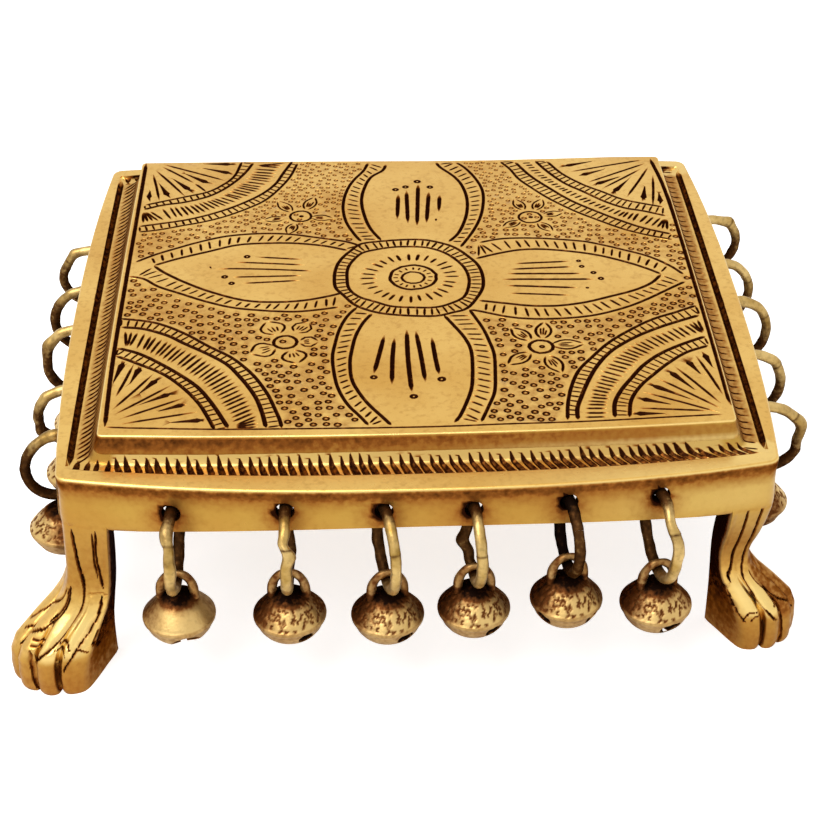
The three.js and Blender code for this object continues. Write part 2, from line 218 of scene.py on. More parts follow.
def brass(name):
    spec = brasses[name]
    material, tree, shader = newMaterial(name)
    where = addNode(tree, "ShaderNodeTexCoord", {}).outputs["Object"]
    parts = {}
    for key in ("cloud", "mottle", "pit"):
        parts[key] = addNode(tree, "ShaderNodeTexNoise", {
            "Vector": where, "Scale": 1000 / spec[key], "Detail": 4.0})
    # The attributes read here carry painted shade, painted reflections and painted highlights besides the
    # metal's own stains and wear
    for key in ("patinaAndShade", "ground", "tarnishAndShade", "rubbedAndReflected"):
        parts[key] = addNode(tree, "ShaderNodeAttribute", {}, attribute_name=key).outputs["Fac"]
    # Each share: what it comes from, the range it reads and the range it gives, and what it is multiplied by.
    # The patina's edge is ragged, because the mottling moves it.
    for key, source, low, high, first, last, factor in (
            ("cloudy", "cloud", 0.35, 0.68, 0.0, 1.0, None),
            ("mottled", "mottle", 0.5, 0.75, 0.0, 0.4, None),
            ("dulled", "cloud", 0.3, 0.7, 0.0, 1.0, None),
            ("handled", "mottle", 0.3, 0.7, 0.3, 0.8, "ground"),
            ("ragged", "mottle", 0.3, 0.7, 0.72, 1.22, "patinaAndShade"),
            ("thin", "ragged", 0.04, 0.38, 0.0, 1.0, None),
            ("thick", "ragged", 0.3, 0.72, 0.0, 1.0, None),
            ("dullEdge", "ragged", 0.1, 0.6, 0.0, 1.0, None),
            ("rough", "mottle", 0.3, 0.75, spec["rough"], spec["rough"] + 0.12, None)):
        parts[key] = addNode(tree, "ShaderNodeMapRange", {
            "Value": parts[source], "From Min": low, "From Max": high, "To Min": first, "To Max": last})
        if factor:
            parts[key] = addNode(tree, "ShaderNodeMath", {0: parts[factor], 1: parts[key]},
                                 operation="MULTIPLY")
    tones = {key: linear(value) for key, value in spec.items() if isinstance(value, str)}
    tones["stained"] = addNode(tree, "ShaderNodeMix", {
        0: parts["dulled"], 6: tones["tarnishAndShade"], 7: tones["dull"]}, data_type="RGBA")
    base = tones["bright"]
    for share, tone in (("cloudy", "middle"), ("mottled", "dull"), ("tarnishAndShade", "stained"), ("rubbedAndReflected", "rubbedAndReflected"),
                        ("handled", "film"), ("thin", "film"), ("thick", "patinaAndShade")):
        base = addNode(tree, "ShaderNodeMix", {0: parts[share], 6: base, 7: tones[tone]}, data_type="RGBA")
    # a thick film doesn't shine at a low angle as bare metal does
    edge = addNode(tree, "ShaderNodeMix", {
        0: parts["dullEdge"], 6: linear("ffffff"), 7: tones["patinaAndShade"]}, data_type="RGBA")
    rough = addNode(tree, "ShaderNodeMath", {
        0: parts["ragged"], 1: 0.35, 2: parts["rough"]}, operation="MULTIPLY_ADD", use_clamp=True)
    pits = addNode(tree, "ShaderNodeBump", {
        "Height": parts["pit"], "Strength": spec["bump"], "Distance": 0.0001})
    for socket, name in ((base.outputs[2], "Base Color"), (edge.outputs[2], "Specular Tint"),
                         (rough.outputs[0], "Roughness"), (pits.outputs["Normal"], "Normal")):
        tree.links.new(socket, shader.inputs[name])
    shader.inputs["Metallic"].default_value = 1
    return material


castBrass, wireBrass, bellBrass = (brass(name) for name in brasses)


# Outlines of the casting

rim = {"width": 165, "depth": 149, "front": 7.4, "back": 3, "side": 3.1, "radius": 2.4}
panel = {"width": 146.8, "depth": 132.3, "front": 2.2, "back": 0, "side": 0.5, "radius": 1.2}
band = {"width": 161.6, "depth": 141.8, "front": 5.1, "back": 2, "side": 0.5, "radius": 1.2}
bowPower = 2.4
rimTop, rimBevel, panelTop, pocketInset = 58, 0.8, 63.9, 3.6
# the skirt's lower edge at the corners and in the middle, how far in its arch ends, the rim's underside,
# and the rings' holes
skirt = {"foot": 44.4, "middleFoot": 47.4, "archInset": 12, "under": 54.4, "holeRadius": 2.2, "holeDrop": 0.12}


def belly(x, y, spec, share=1):
    hx, hy = spec["width"] / 2, spec["depth"] / 2
    along = spec["front"] if y < 0 else spec["back"]
    return (x + math.copysign(share * spec["side"] * (1 - abs(y / hy) ** bowPower) * abs(x / hx), x),
            y + math.copysign(share * along * (1 - abs(x / hx) ** bowPower) * abs(y / hy), y))


def outlineOf(spec, inset=0, step=1.6, corner=7):
    # A spec's outline moved inwards by inset, counter-clockwise, with as many points for every inset
    grown = dict(spec, width=spec["width"] - 2 * inset, depth=spec["depth"] - 2 * inset)
    hx, hy = grown["width"] / 2, grown["depth"] / 2
    radius = max(spec["radius"] - inset, 0.6)
    points = []
    for k, (sx, sy) in enumerate(((1, -1), (1, 1), (-1, 1), (-1, -1))):
        start = -math.pi / 2 + k * math.pi / 2
        for i in range(corner + 1):
            a = start + math.pi / 2 * i / corner
            points.append((sx * (hx - radius) + radius * math.cos(a),
                           sy * (hy - radius) + radius * math.sin(a)))
        nx, ny = ((1, -1), (1, 1), (-1, 1), (-1, -1))[(k + 1) % 4]
        first = points[-1]
        a = start + math.pi / 2
        last = (nx * (hx - radius) + radius * math.cos(a), ny * (hy - radius) + radius * math.sin(a))
        count = round((spec["depth"] if k % 2 == 0 else spec["width"]) / step)
        for i in range(1, count):
            t = i / count
            points.append((first[0] + (last[0] - first[0]) * t, first[1] + (last[1] - first[1]) * t))
    return [belly(x, y, grown) for x, y in points]


def stack(points, faces, loops, start=None):
    # Adds loops of equal length to points and joins each to the one before with quads
    before = start
    for loop in loops:
        first = len(points)
        points.extend(loop)
        now = list(range(first, len(points)))
        if before is not None:
            n = len(now)
            faces.extend((before[i], before[(i + 1) % n], now[(i + 1) % n], now[i]) for i in range(n))
        before = now
    return before


def level(outline, z):
    return [(x, y, z) for x, y in outline]


def inside(points, polygon):
    # Which of the points lie inside the polygon
    pts, poly = np.asarray(points, float), np.asarray(polygon, float)
    result = np.zeros(len(pts), bool)
    for (x1, y1), (x2, y2) in zip(poly, np.roll(poly, -1, axis=0)):
        if y1 == y2:
            continue
        crosses = ((y1 > pts[:, 1]) != (y2 > pts[:, 1]))
        at = (x2 - x1) * (pts[:, 1] - y1) / (y2 - y1) + x1
        result ^= crosses & (pts[:, 0] < at)
    return result


# Engraving: grooves and ring punches cut into a flat sheet

def stroke(points, width, taper=(1, 1), closed=False, step=1.2, depth=0.3):
    # One groove, whose half width fades out at each end over taper's number of widths
    if not closed:
        step = min(step, sum(math.dist(a, b) for a, b in zip(points, points[1:])) / 4)
    pts = smoothCurve(points, step, closed)
    if closed:
        half = np.full(len(pts), width / 2)
    else:
        run = np.concatenate(([0], np.cumsum(np.linalg.norm(np.diff(pts, axis=0), axis=1))))
        fade = np.minimum(run / (taper[0] * width), (run[-1] - run) / (taper[1] * width))
        half = width / 2 * np.sqrt(np.clip(fade, 0, 1))
    return {"points": pts, "half": half, "closed": closed, "depth": depth}


guardWidth = 0.16  # a strip beside each groove that keeps its brown edge sharp
cellSize = 2.0     # of the squares that points are sorted into, so that near ones are found fast
punchShares = (1, 0.86, 0.64)  # rings of points in a punch, as shares of its radius


def engravedSheet(outer, inner, strokes, punches, spacing, seed):
    # Triangles of a flat sheet between two outlines: its points as (x, y), the faces, the depth of cut and
    # the darkness at each point, and the point numbers round both edges
    points, edges = [], []

    def chain(line, closed):
        first = len(points)
        points.extend((float(x), float(y)) for x, y in line)
        edges.extend((first + i, first + i + 1) for i in range(len(line) - 1))
        if closed:
            edges.append((first + len(line) - 1, first))

    chain(outer, True)
    if inner is not None:
        chain(inner, True)
    for groove in strokes:
        pts, half, closed = groove["points"], groove["half"], groove["closed"]
        if closed:
            along = np.roll(pts, -1, axis=0) - np.roll(pts, 1, axis=0)
        else:
            along = np.gradient(pts, axis=0)
        normal = np.stack((-along[:, 1], along[:, 0]), axis=1) / np.linalg.norm(along, axis=1)[:, None]
        chain(pts, closed)
        for reach in ((half, half + guardWidth) if groove["depth"] else (half,)):
            chain(pts + normal * reach[:, None], closed)
            chain(pts - normal * reach[:, None], closed)
    ring = [(math.cos(k * math.pi / 4), math.sin(k * math.pi / 4)) for k in range(8)]
    for x, y, r in punches:
        points.append((float(x), float(y)))
        for share in punchShares:
            chain([(x + r * share * c, y + r * share * s) for c, s in ring], True)
    rng = np.random.default_rng(seed)
    low, high = np.min(outer, axis=0), np.max(outer, axis=0)
    gx, gy = np.meshgrid(np.arange(low[0], high[0], spacing), np.arange(low[1], high[1], spacing))
    loose = np.stack((gx.ravel(), gy.ravel()), axis=1)
    loose += rng.uniform(-0.35, 0.35, loose.shape) * spacing
    points.extend((float(x), float(y)) for x, y in loose)
    verts, _, tris, _, _, _ = delaunay_2d_cdt([Vector(p) for p in points], edges, [], 0, 0.01)
    flat = np.array([(v.x, v.y) for v in verts])
    tris = np.array([t for t in tris if len(t) == 3])
    centres = flat[tris].mean(axis=1)
    keep = inside(centres, outer)
    if inner is not None:
        keep &= ~inside(centres, inner)
    used, tris = np.unique(tris[keep], return_inverse=True)
    flat, tris = flat[used], tris.reshape(-1, 3)
    loops = edgeLoops(tris)
    loops.sort(key=lambda loop: -np.ptp(flat[loop][:, 0]))
    cuts, dark = cutDepths(flat, strokes, punches)
    return flat, tris, cuts, dark, loops[0], loops[1] if inner is not None else None


def edgeLoops(tris):
    # The point numbers round each edge of the sheet, in order
    following = {}
    seen = {tuple(pair) for t in tris for pair in ((t[0], t[1]), (t[1], t[2]), (t[2], t[0]))}
    for a, b in seen:
        if (b, a) not in seen:
            following[a] = b
    loops = []
    while following:
        start, now = following.popitem()
        loop = [int(start)]
        while now != start:
            loop.append(int(now))
            now = following.pop(now)
        loops.append(loop)
    return loops


def cutDepths(flat, strokes, punches):
    # How deep each point of the sheet is cut, and how dark it is
    cells = {}
    for i, key in enumerate(map(tuple, np.floor(flat / cellSize).astype(int))):
        cells.setdefault(key, []).append(i)

    def near(low, high):
        found = []
        for cx in range(math.floor(low[0] / cellSize), math.floor(high[0] / cellSize) + 1):
            for cy in range(math.floor(low[1] / cellSize), math.floor(high[1] / cellSize) + 1):
                found += cells.get((cx, cy), ())
        return np.array(found, int)

    cuts, dark = np.zeros(len(flat)), np.zeros(len(flat))
    for groove in strokes:
        pts, half, deepest = groove["points"], groove["half"], groove["depth"]
        count = len(pts)
        if not deepest:
            continue
        for i in range(count if groove["closed"] else count - 1):
            a, b, ha, hb = pts[i], pts[(i + 1) % count], half[i], half[(i + 1) % count]
            reach = max(ha, hb) + guardWidth
            who = near(np.minimum(a, b) - reach, np.maximum(a, b) + reach)
            if not len(who):
                continue
            run = b - a
            t = np.clip((flat[who] - a) @ run / max(run @ run, 1e-9), 0, 1)
            h = np.maximum(ha + (hb - ha) * t, 1e-6)
            away = np.linalg.norm(flat[who] - a - t[:, None] * run, axis=1)
            cut = np.minimum(deepest, 0.75 * h) * np.clip(1 - (away / h) ** 1.6, 0, 1)
            cuts[who] = np.maximum(cuts[who], cut)
            ink = min(1, 0.75 + deepest) * np.clip((h + 0.8 * guardWidth - away) / (0.8 * guardWidth), 0, 1)
            ink = np.where(away < 0.4 * h, ink, ink * 0.72) * np.clip(h / 0.12, 0, 1)
            dark[who] = np.maximum(dark[who], ink)
    for x, y, r in punches:
        who = near((x - r, y - r), (x + r, y + r))
        if not len(who):
            continue
        away = np.hypot(flat[who, 0] - x, flat[who, 1] - y) / r
        cut = 0.26 * r * np.clip(1 - (np.abs(away - 0.75) / 0.3) ** 2, 0, 1)
        cuts[who] = np.maximum(cuts[who], cut)
        # the punches were wiped cleaner towards the back
        ink = np.interp(away, (0, 0.64, 0.86, 1, 1.1), (0, 0.78, 1, 0.14, 0))
        dark[who] = np.maximum(dark[who], np.interp(y, (-60, 0, 50), (1, 0.8, 0.55)) * ink)
    return cuts, dark


def nearPunch(flat, punches):
    # 1 on and beside a punch, 0 elsewhere
    cells = {}
    for x, y, r in punches:
        cells.setdefault((int(x // cellSize), int(y // cellSize)), []).append((x, y, r))
    values = np.zeros(len(flat))
    for k, (x, y) in enumerate(flat):
        i, j = int(x // cellSize), int(y // cellSize)
        values[k] = any(math.hypot(x - px, y - py) < r * 1.25
                        for a in (i - 1, i, i + 1) for b in (j - 1, j, j + 1)
                        for px, py, r in cells.get((a, b), ()))
    return values


def addAttribute(piece, name, values):
    layer = piece.data.attributes.new(name, "FLOAT", "POINT")
    layer.data.foreach_set("value", np.asarray(values, np.float32))


# The casting. First what the engraver cut into the panel, read off the photograph in millimetres.

def along(points, step=0.25, closed=False):
    # A curve through the points at even steps, and how far along it each is
    pts = smoothCurve(points, step, closed)
    return pts, np.concatenate(([0], np.cumsum(np.linalg.norm(np.diff(pts, axis=0), axis=1))))


def at(curve, run):
    pts, runs = curve
    return np.array([np.interp(run, runs, pts[:, 0]), np.interp(run, runs, pts[:, 1])])


def crossTicks(one, two, spacing, width, inset=0.0, slant=0.0, start=0.5, end=0.5, wobble=0.0, depth=0.22,
               seed=1):
    # Short strokes from one curve towards the other; slant moves the far ends along by that many mm
    rng = np.random.default_rng(seed)
    a, b = along(one), along(two)
    ticks, run = [], start
    while run < a[1][-1] - end:
        p = at(a, run)
        near = int(np.argmin(np.linalg.norm(b[0] - p, axis=1)))
        q = at(b, b[1][near] + slant + rng.uniform(-wobble, wobble))
        way = q - p
        share = inset / max(np.linalg.norm(way), 0.01)
        if share < 0.45:
            low, high = share + rng.uniform(0, 0.06), 1 - share - rng.uniform(0, 0.06)
            middle = p + way * (low + high) / 2 + rng.uniform(-0.08, 0.08, 2)
            ticks.append(stroke([p + way * low, middle, p + way * high], width * rng.uniform(0.85, 1.15),
                                taper=(0.35, 0.35), step=9, depth=depth))
        run += spacing * rng.uniform(1 - wobble / 3, 1 + wobble / 3)
    return ticks


def circle(x, y, r, width, seed=0, depth=0.25):
    rng = np.random.default_rng(seed)
    turns = np.linspace(0, 2 * math.pi, max(9, round(r * 5)), endpoint=False)
    pts = [(x + r * math.cos(t) * rng.uniform(0.97, 1.03), y + r * math.sin(t) * rng.uniform(0.97, 1.03))
           for t in turns]
    return stroke(pts, width, closed=True, step=1.1, depth=depth)


medallionOuter = [
    (0, 20.7), (5, 20.3), (10, 18), (13, 15.5), (16, 11), (18, 7), (18.9, 2), (18.7, -4), (17, -9), (14, -14.5),
    (10, -16.5), (6, -17.8), (0, -17.5), (-6, -16.5), (-10, -15), (-14, -12), (-17, -7), (-19, -3), (-19.2, 3),
    (-18.5, 8), (-17, 12), (-14.5, 16), (-12, 19), (-6, 20.2)]
medallionInner = [
    (0, 17), (5, 16.3), (9, 14), (12, 10.5), (14.3, 6), (15.3, 1), (15, -4), (13.5, -9), (10, -12), (6, -13.7),
    (0, -13.5), (-5, -12.8), (-9, -10.5), (-13, -8), (-15.5, -4), (-16, 1), (-15.8, 6), (-14.5, 10), (-12, 14),
    (-8, 15.8), (-4, 16.8)]
petals = {
    "left": {
        "inner": [[(-66, 9.7), (-60, 13), (-52, 16.5), (-45, 19.5), (-38, 20.2), (-30, 20), (-22, 18.3),
                   (-15.5, 15.5)],
                  [(-66, 9.7), (-63, 6), (-57, 0.5), (-50, -4.5), (-42, -8.5), (-35, -9.6), (-28, -9.3),
                   (-22, -7.8), (-17, -5.8)]],
        "outer": [[(-71, 11.5), (-66, 15.3), (-60, 18.8), (-55, 21.5), (-48, 24.3), (-40, 25.4), (-32, 25),
                   (-24, 22.8), (-16, 20.2), (-12, 17.5)],
                  [(-72, 4.5), (-68, 3), (-64, -1), (-58, -4.8), (-52, -8.5), (-45, -11.8), (-38, -13.4),
                   (-30, -14.4), (-24, -13.9), (-18, -12.7)]]},
    "right": {
        "inner": [[(65.2, 0.3), (62, 3.2), (57, 6.8), (50, 10.6), (43, 12.9), (36, 14.2), (30, 14.2),
                   (24, 12.6), (17.5, 10)],
                  [(65.2, 0.3), (62, -4), (57, -7.5), (50, -10.5), (44, -12.8), (37, -14.2), (30, -13.9),
                   (24, -12.5), (17, -10.8)]],
        "outer": [[(71, -0.2), (68, 4.5), (63, 9.6), (57, 13.2), (50, 16.8), (46, 18.3), (38, 19.8), (32, 20.4),
                   (25, 20.2), (19, 18.4)],
                  [(71, -3.5), (66, -7.2), (60, -11.8), (54, -15.6), (46, -18.9), (38, -20.2), (30, -20.1),
                   (24, -18.9), (17, -16), (14.5, -15.2)]]},
    "front": {
        "inner": [[(-9.8, -16), (-12, -20), (-14, -26), (-15, -32), (-15.6, -38), (-15.3, -45), (-14, -50),
                   (-11.5, -56), (-8, -62), (-6.3, -65)],
                  [(8, -17.5), (10, -22), (12.5, -28), (13.8, -34), (13.7, -42), (13, -50), (11.5, -56),
                   (9.5, -62), (8, -64.5)]],
        "outer": [[(-13.5, -12.8), (-16, -17), (-18, -23), (-19.2, -30), (-19.8, -36), (-19.3, -44),
                   (-18.3, -50), (-16.3, -56), (-13.5, -61), (-11.5, -64.8)],
                  [(14.5, -15), (17.3, -24), (18.5, -30), (19.3, -36), (19, -44), (18.3, -52), (16.5, -58),
                   (14.3, -64.5)]]},
    "back": {
        "inner": [[(-6.8, 20.5), (-9.5, 27), (-11, 34), (-11.7, 42), (-11, 49), (-9, 56), (-5.5, 60.3),
                   (-4.5, 64)],
                  [(11, 19), (14, 24), (16.5, 33), (17.3, 42), (16.5, 50), (14.5, 56), (10.8, 62), (9.8, 65)]],
        "outer": [[(-12, 20), (-13.8, 24), (-16, 31), (-16.8, 39), (-16, 47), (-14, 54), (-11, 60), (-9.5, 65)],
                  [(14, 16), (18, 25), (20.5, 33), (21.8, 42), (21.7, 49), (20, 56), (17.5, 62), (15.3, 65)]]},
}
# Long strokes in the petals, from the root outwards: points, width, and the dot or circle at the end
petalStrokes = [
    ([(-27.3, 11.4), (-40, 13.1)], 0.6, (-42, 13.3, 0.95)), ([(-27, 8.5), (-36, 9.6), (-45, 10.6)], 0.6, None),
    ([(-25, 5.3), (-36, 6.6), (-46, 7.3), (-50, 7.2)], 0.6, None), ([(-51, 7.5), (-51.5, 8.8)], 0.4, None),
    ([(-27.5, 3.1), (-45.5, 3)], 0.6, (-47.4, 3.2, 0.95)), ([(-28, 0.7), (-43, -0.2)], 0.6, (-45.5, -0.1, 0.9)),
    ([(27.5, 7), (42.5, 7.8)], 0.65, (44.5, 7.9, 0.7)), ([(26, 4.2), (43, 5)], 0.7, (45, 5, 0.8)),
    ([(25, 2), (45, 1.4)], 0.7, (47.7, 1.7, 0.85)), ([(23.5, -0.7), (48, -1.6)], 0.75, (49.3, -1.3, 0.9)),
    ([(24.3, -3.8), (43, -5.7)], 0.75, (45.3, -5.8, 0.45)), ([(25, -7.6), (40.7, -9.3)], 0.6, None),
    ([(-7, -26), (-8.5, -35), (-10, -43.5)], 1.0, (-10, -44.8, 1.0)),
    ([(-4.6, -27.5), (-5.3, -36), (-5.8, -48.3)], 1.0, None),
    ([(-1.5, -23.8), (-1.6, -38), (-1.2, -51.5)], 1.05, (-0.8, -53.3, 1.1)),
    ([(0.7, -24.5), (1.5, -35), (2.2, -47.5)], 1.0, None),
    ([(4.5, -27.2), (5, -37), (5.6, -44.5)], 1.0, (6.1, -46.3, 1.15)),
    ([(-2.2, 31.8), (-1.5, 46.5)], 1.0, (-2.2, 48.8, 1.0)), ([(0.6, 29.3), (0.8, 48.5)], 1.0, (0.6, 50.3, 1.0)),
    ([(3, 28), (4.2, 52)], 1.0, (4, 53.4, 1.1)), ([(5.6, 29.3), (7, 47.5)], 1.0, (7.4, 50, 1.0)),
    ([(9.2, 35.5), (9.9, 45.5)], 1.0, None), ([(8.2, 30.6), (8.3, 32)], 1.1, None)]
# Each corner's four arcs from its own side to the front or back, then its fan of lines and teardrops
corners = {
    "frontLeft": {
        "arcs": [
            [(-72.5, -16), (-65, -17.8), (-60, -20.5), (-55, -24.5), (-50, -29.5), (-44.5, -34.5), (-41, -39),
             (-38, -44), (-35, -51), (-33.5, -56), (-32, -61.5), (-31.4, -65)],
            [(-72, -20), (-66, -21.2), (-60, -24.5), (-56, -28), (-50, -33), (-45, -38), (-42, -43),
             (-39.5, -48), (-37.5, -53), (-36, -59), (-35, -64.8)],
            [(-72, -29.5), (-67, -32), (-62, -36), (-56, -42), (-51.5, -47.5), (-48, -54), (-45, -61),
             (-43.6, -64.5)],
            [(-72, -33), (-66, -37), (-60, -41.5), (-55, -47.5), (-51, -54), (-48.5, -60), (-46.7, -65)]],
        "fan": [((-67.3, -36.5), (-70.5, -51)), ((-62, -40.5), (-71, -56.5)), ((-57.5, -46), (-70.3, -58.2)),
                ((-54, -51.5), (-69, -60)), ((-50.5, -57.5), (-68.8, -62))],
        "drops": [((-70, -36.5), (-71.5, -44.5)), ((-65.8, -38.8), (-67.5, -45)), ((-61.5, -44), (-65, -49.5)),
                  ((-58, -50), (-64, -53.8)), ((-54.5, -54.5), (-60, -57)), ((-50, -61), (-57, -61.7))],
        "slant": 2.4, "weight": 1.0, "tick": 0.6, "spacing": 1.75},
    "frontRight": {
        "arcs": [
            [(72, -15.3), (66, -18.5), (60, -21.5), (54, -26), (48, -31.5), (43, -38), (39, -44), (36.5, -51),
             (35, -58), (34.3, -64.5)],
            [(72, -20), (66, -22.8), (60, -26), (54, -30), (48, -35.5), (44, -41.5), (41, -48), (38.5, -55),
             (37, -60), (36.7, -64.5)],
            [(72, -29.8), (66, -33), (60, -37), (55, -42), (51, -48), (48, -53), (46, -58), (45.3, -64)],
            [(72, -34), (66, -37), (61, -41.5), (57, -46), (53, -51), (50, -57), (48.7, -64)]],
        "fan": [((50.5, -60.2), (68, -62)), ((53, -53.5), (70, -62.8)), ((57, -47.5), (70.8, -61.5)),
                ((62, -42.5), (71, -59.5)), ((68, -38), (72, -56))],
        "drops": [((50.5, -62.5), (57, -62.7)), ((52.5, -56.5), (59, -59)), ((56, -51), (64, -57)),
                  ((61, -45.5), (65.5, -53)), ((65.8, -41), (68, -46.5)), ((70.3, -38), (71.3, -43.5))],
        "slant": -0.6, "weight": 1.0, "tick": 0.6, "spacing": 1.75},
    "backLeft": {
        "arcs": [
            [(-71.5, 27.5), (-66, 28.5), (-60, 30.5), (-54, 32.5), (-48, 35.5), (-42, 40), (-38, 44),
             (-34.5, 50), (-31.5, 57), (-29.5, 65)],
            [(-71.5, 30.5), (-66, 31.8), (-58, 34), (-50, 38), (-44, 42.5), (-39, 47.5), (-35.5, 53),
             (-33.5, 59), (-31, 66)],
            [(-71, 39.6), (-66, 42), (-60, 43.5), (-54, 46.3), (-50, 50), (-46.5, 55), (-44, 60), (-42, 65.5)],
            [(-71, 42), (-65, 44.5), (-60, 46.5), (-54, 49), (-50, 53), (-47, 58), (-45.3, 66)]],
        "fan": [((-70, 60), (-67, 44)), ((-69.5, 62), (-60, 46.5)), ((-58, 54), (-54.5, 49)),
                ((-68, 64), (-58, 54)), ((-67.5, 65), (-49, 55))],
        "drops": [((-48.5, 64.6), (-56, 65)), ((-48.5, 59.5), (-56, 62.5)), ((-54.5, 54.3), (-61, 59.5)),
                  ((-59.3, 50.5), (-64, 56.5)), ((-65, 47.5), (-67.5, 53.5)), ((-70, 46), (-70, 50))],
        "slant": -1.8, "weight": 0.8, "tick": 0.6, "spacing": 1.7},
    "backRight": {
        "arcs": [
            [(28, 65), (30.5, 60), (32.5, 54), (36, 48), (40, 42), (46, 35), (52, 29.5), (58, 24.5), (64, 21),
             (71, 18)],
            [(32.2, 64.5), (36, 55.5), (41, 47.5), (46, 40.5), (52, 34.5), (58, 29), (64, 24.5), (71, 21)],
            [(38, 65), (41, 58), (45, 51), (50, 45.5), (55, 40), (60, 36), (65, 34), (71, 31)],
            [(41.3, 64.5), (45, 56.5), (50, 50), (55, 45.5), (60, 41), (66, 38), (71, 36)]],
        "fan": [((47, 57.5), (69, 64)), ((51.5, 51), (69.5, 62)), ((55, 47), (68, 59)), ((61.5, 42), (70, 60)),
                ((68, 36.5), (70.5, 55))],
        "drops": [((46.5, 61.3), (54, 63.5)), ((50.5, 55.5), (57, 58.5)), ((54, 50), (61, 54)),
                  ((58.5, 45.5), (63, 52)), ((66, 41), (67.3, 48)), ((70.5, 39), (70.7, 44))],
        "slant": 1.2, "weight": 0.85, "tick": 0.6, "spacing": 1.75},
}
# Flowers: centre, its ring, then each petal's middle, length, width and turn, and how deep it is cut
flowers = [
    {"at": (-31.3, -28.5), "ring": 2.9, "width": 0.75, "dot": 0, "weight": 0.55,
     "petals": [(-34.5, -22, 7.2, 6.2, 115), (-27.3, -22, 6, 5, 55), (-25.6, -28.5, 5, 4.6, 0),
                (-29, -35, 6.6, 6, -75), (-36.5, -31.8, 7, 6.2, 205)]},
    {"at": (31, -33), "ring": 2.9, "width": 0.8, "dot": 0.8, "weight": 0.55,
     "petals": [(26.6, -27.2, 8, 3.8, 125), (32.2, -25.8, 8.5, 3.9, 82), (37.4, -32.2, 8.6, 4.2, 2),
                (33.4, -40.6, 9, 4, -70), (25.4, -38, 8.4, 4, 222)]},
    {"at": (-28.3, 34.5), "ring": 2.9, "width": 0.6, "dot": 0.6, "weight": 0.4,
     "petals": [(-32.6, 40, 8, 3.2, 122), (-25.8, 41.4, 8, 3.4, 72), (-22.6, 33.4, 6.6, 3, -8),
                (-30.6, 28, 6.6, 3, 252), (-35.2, 33.2, 6.4, 3, 190)]},
    {"at": (33.8, 31.8), "ring": 3.1, "width": 0.6, "dot": 0.6, "weight": 0.4,
     "petals": [(31.4, 38.8, 7.4, 3, 108), (36.6, 38.6, 7.4, 3, 68), (40, 33.4, 6.4, 3, 14),
                (37.4, 26.4, 6.8, 3, -56), (28.6, 28.2, 6.6, 3, 215)]},
]


def flowerStrokes(flower, seed):
    rng = np.random.default_rng(seed)
    x, y = flower["at"]
    cuts = [circle(x, y, flower["ring"], flower["width"], seed)]
    if flower["dot"]:
        cuts.append(circle(x + 0.2, y, flower["dot"] * 0.55, 0.55, seed, depth=0.3))
    for px, py, length, width, turn in flower["petals"]:
        turn = math.radians(turn)
        c, s = math.cos(turn), math.sin(turn)

        def out(u, v):
            return (px + u * length / 2 * c - v * width / 2 * s, py + u * length / 2 * s + v * width / 2 * c)

        for side in (1, -1):
            cuts.append(stroke([out(-0.86, 0.18 * side), out(-0.35, 0.86 * side), out(0.25, 0.92 * side),
                                out(0.98, 0.05 * side)],
                               flower["weight"] * rng.uniform(0.85, 1.15), step=1.3, depth=0.22))
        for v in (-0.36, 0, 0.36):
            reach = rng.uniform(0.1, 0.45)
            cuts.append(stroke([out(-0.55, v * 0.6), out(0, v), out(reach, v * 1.05)], 0.36, step=2,
                               depth=0.12))
    return cuts


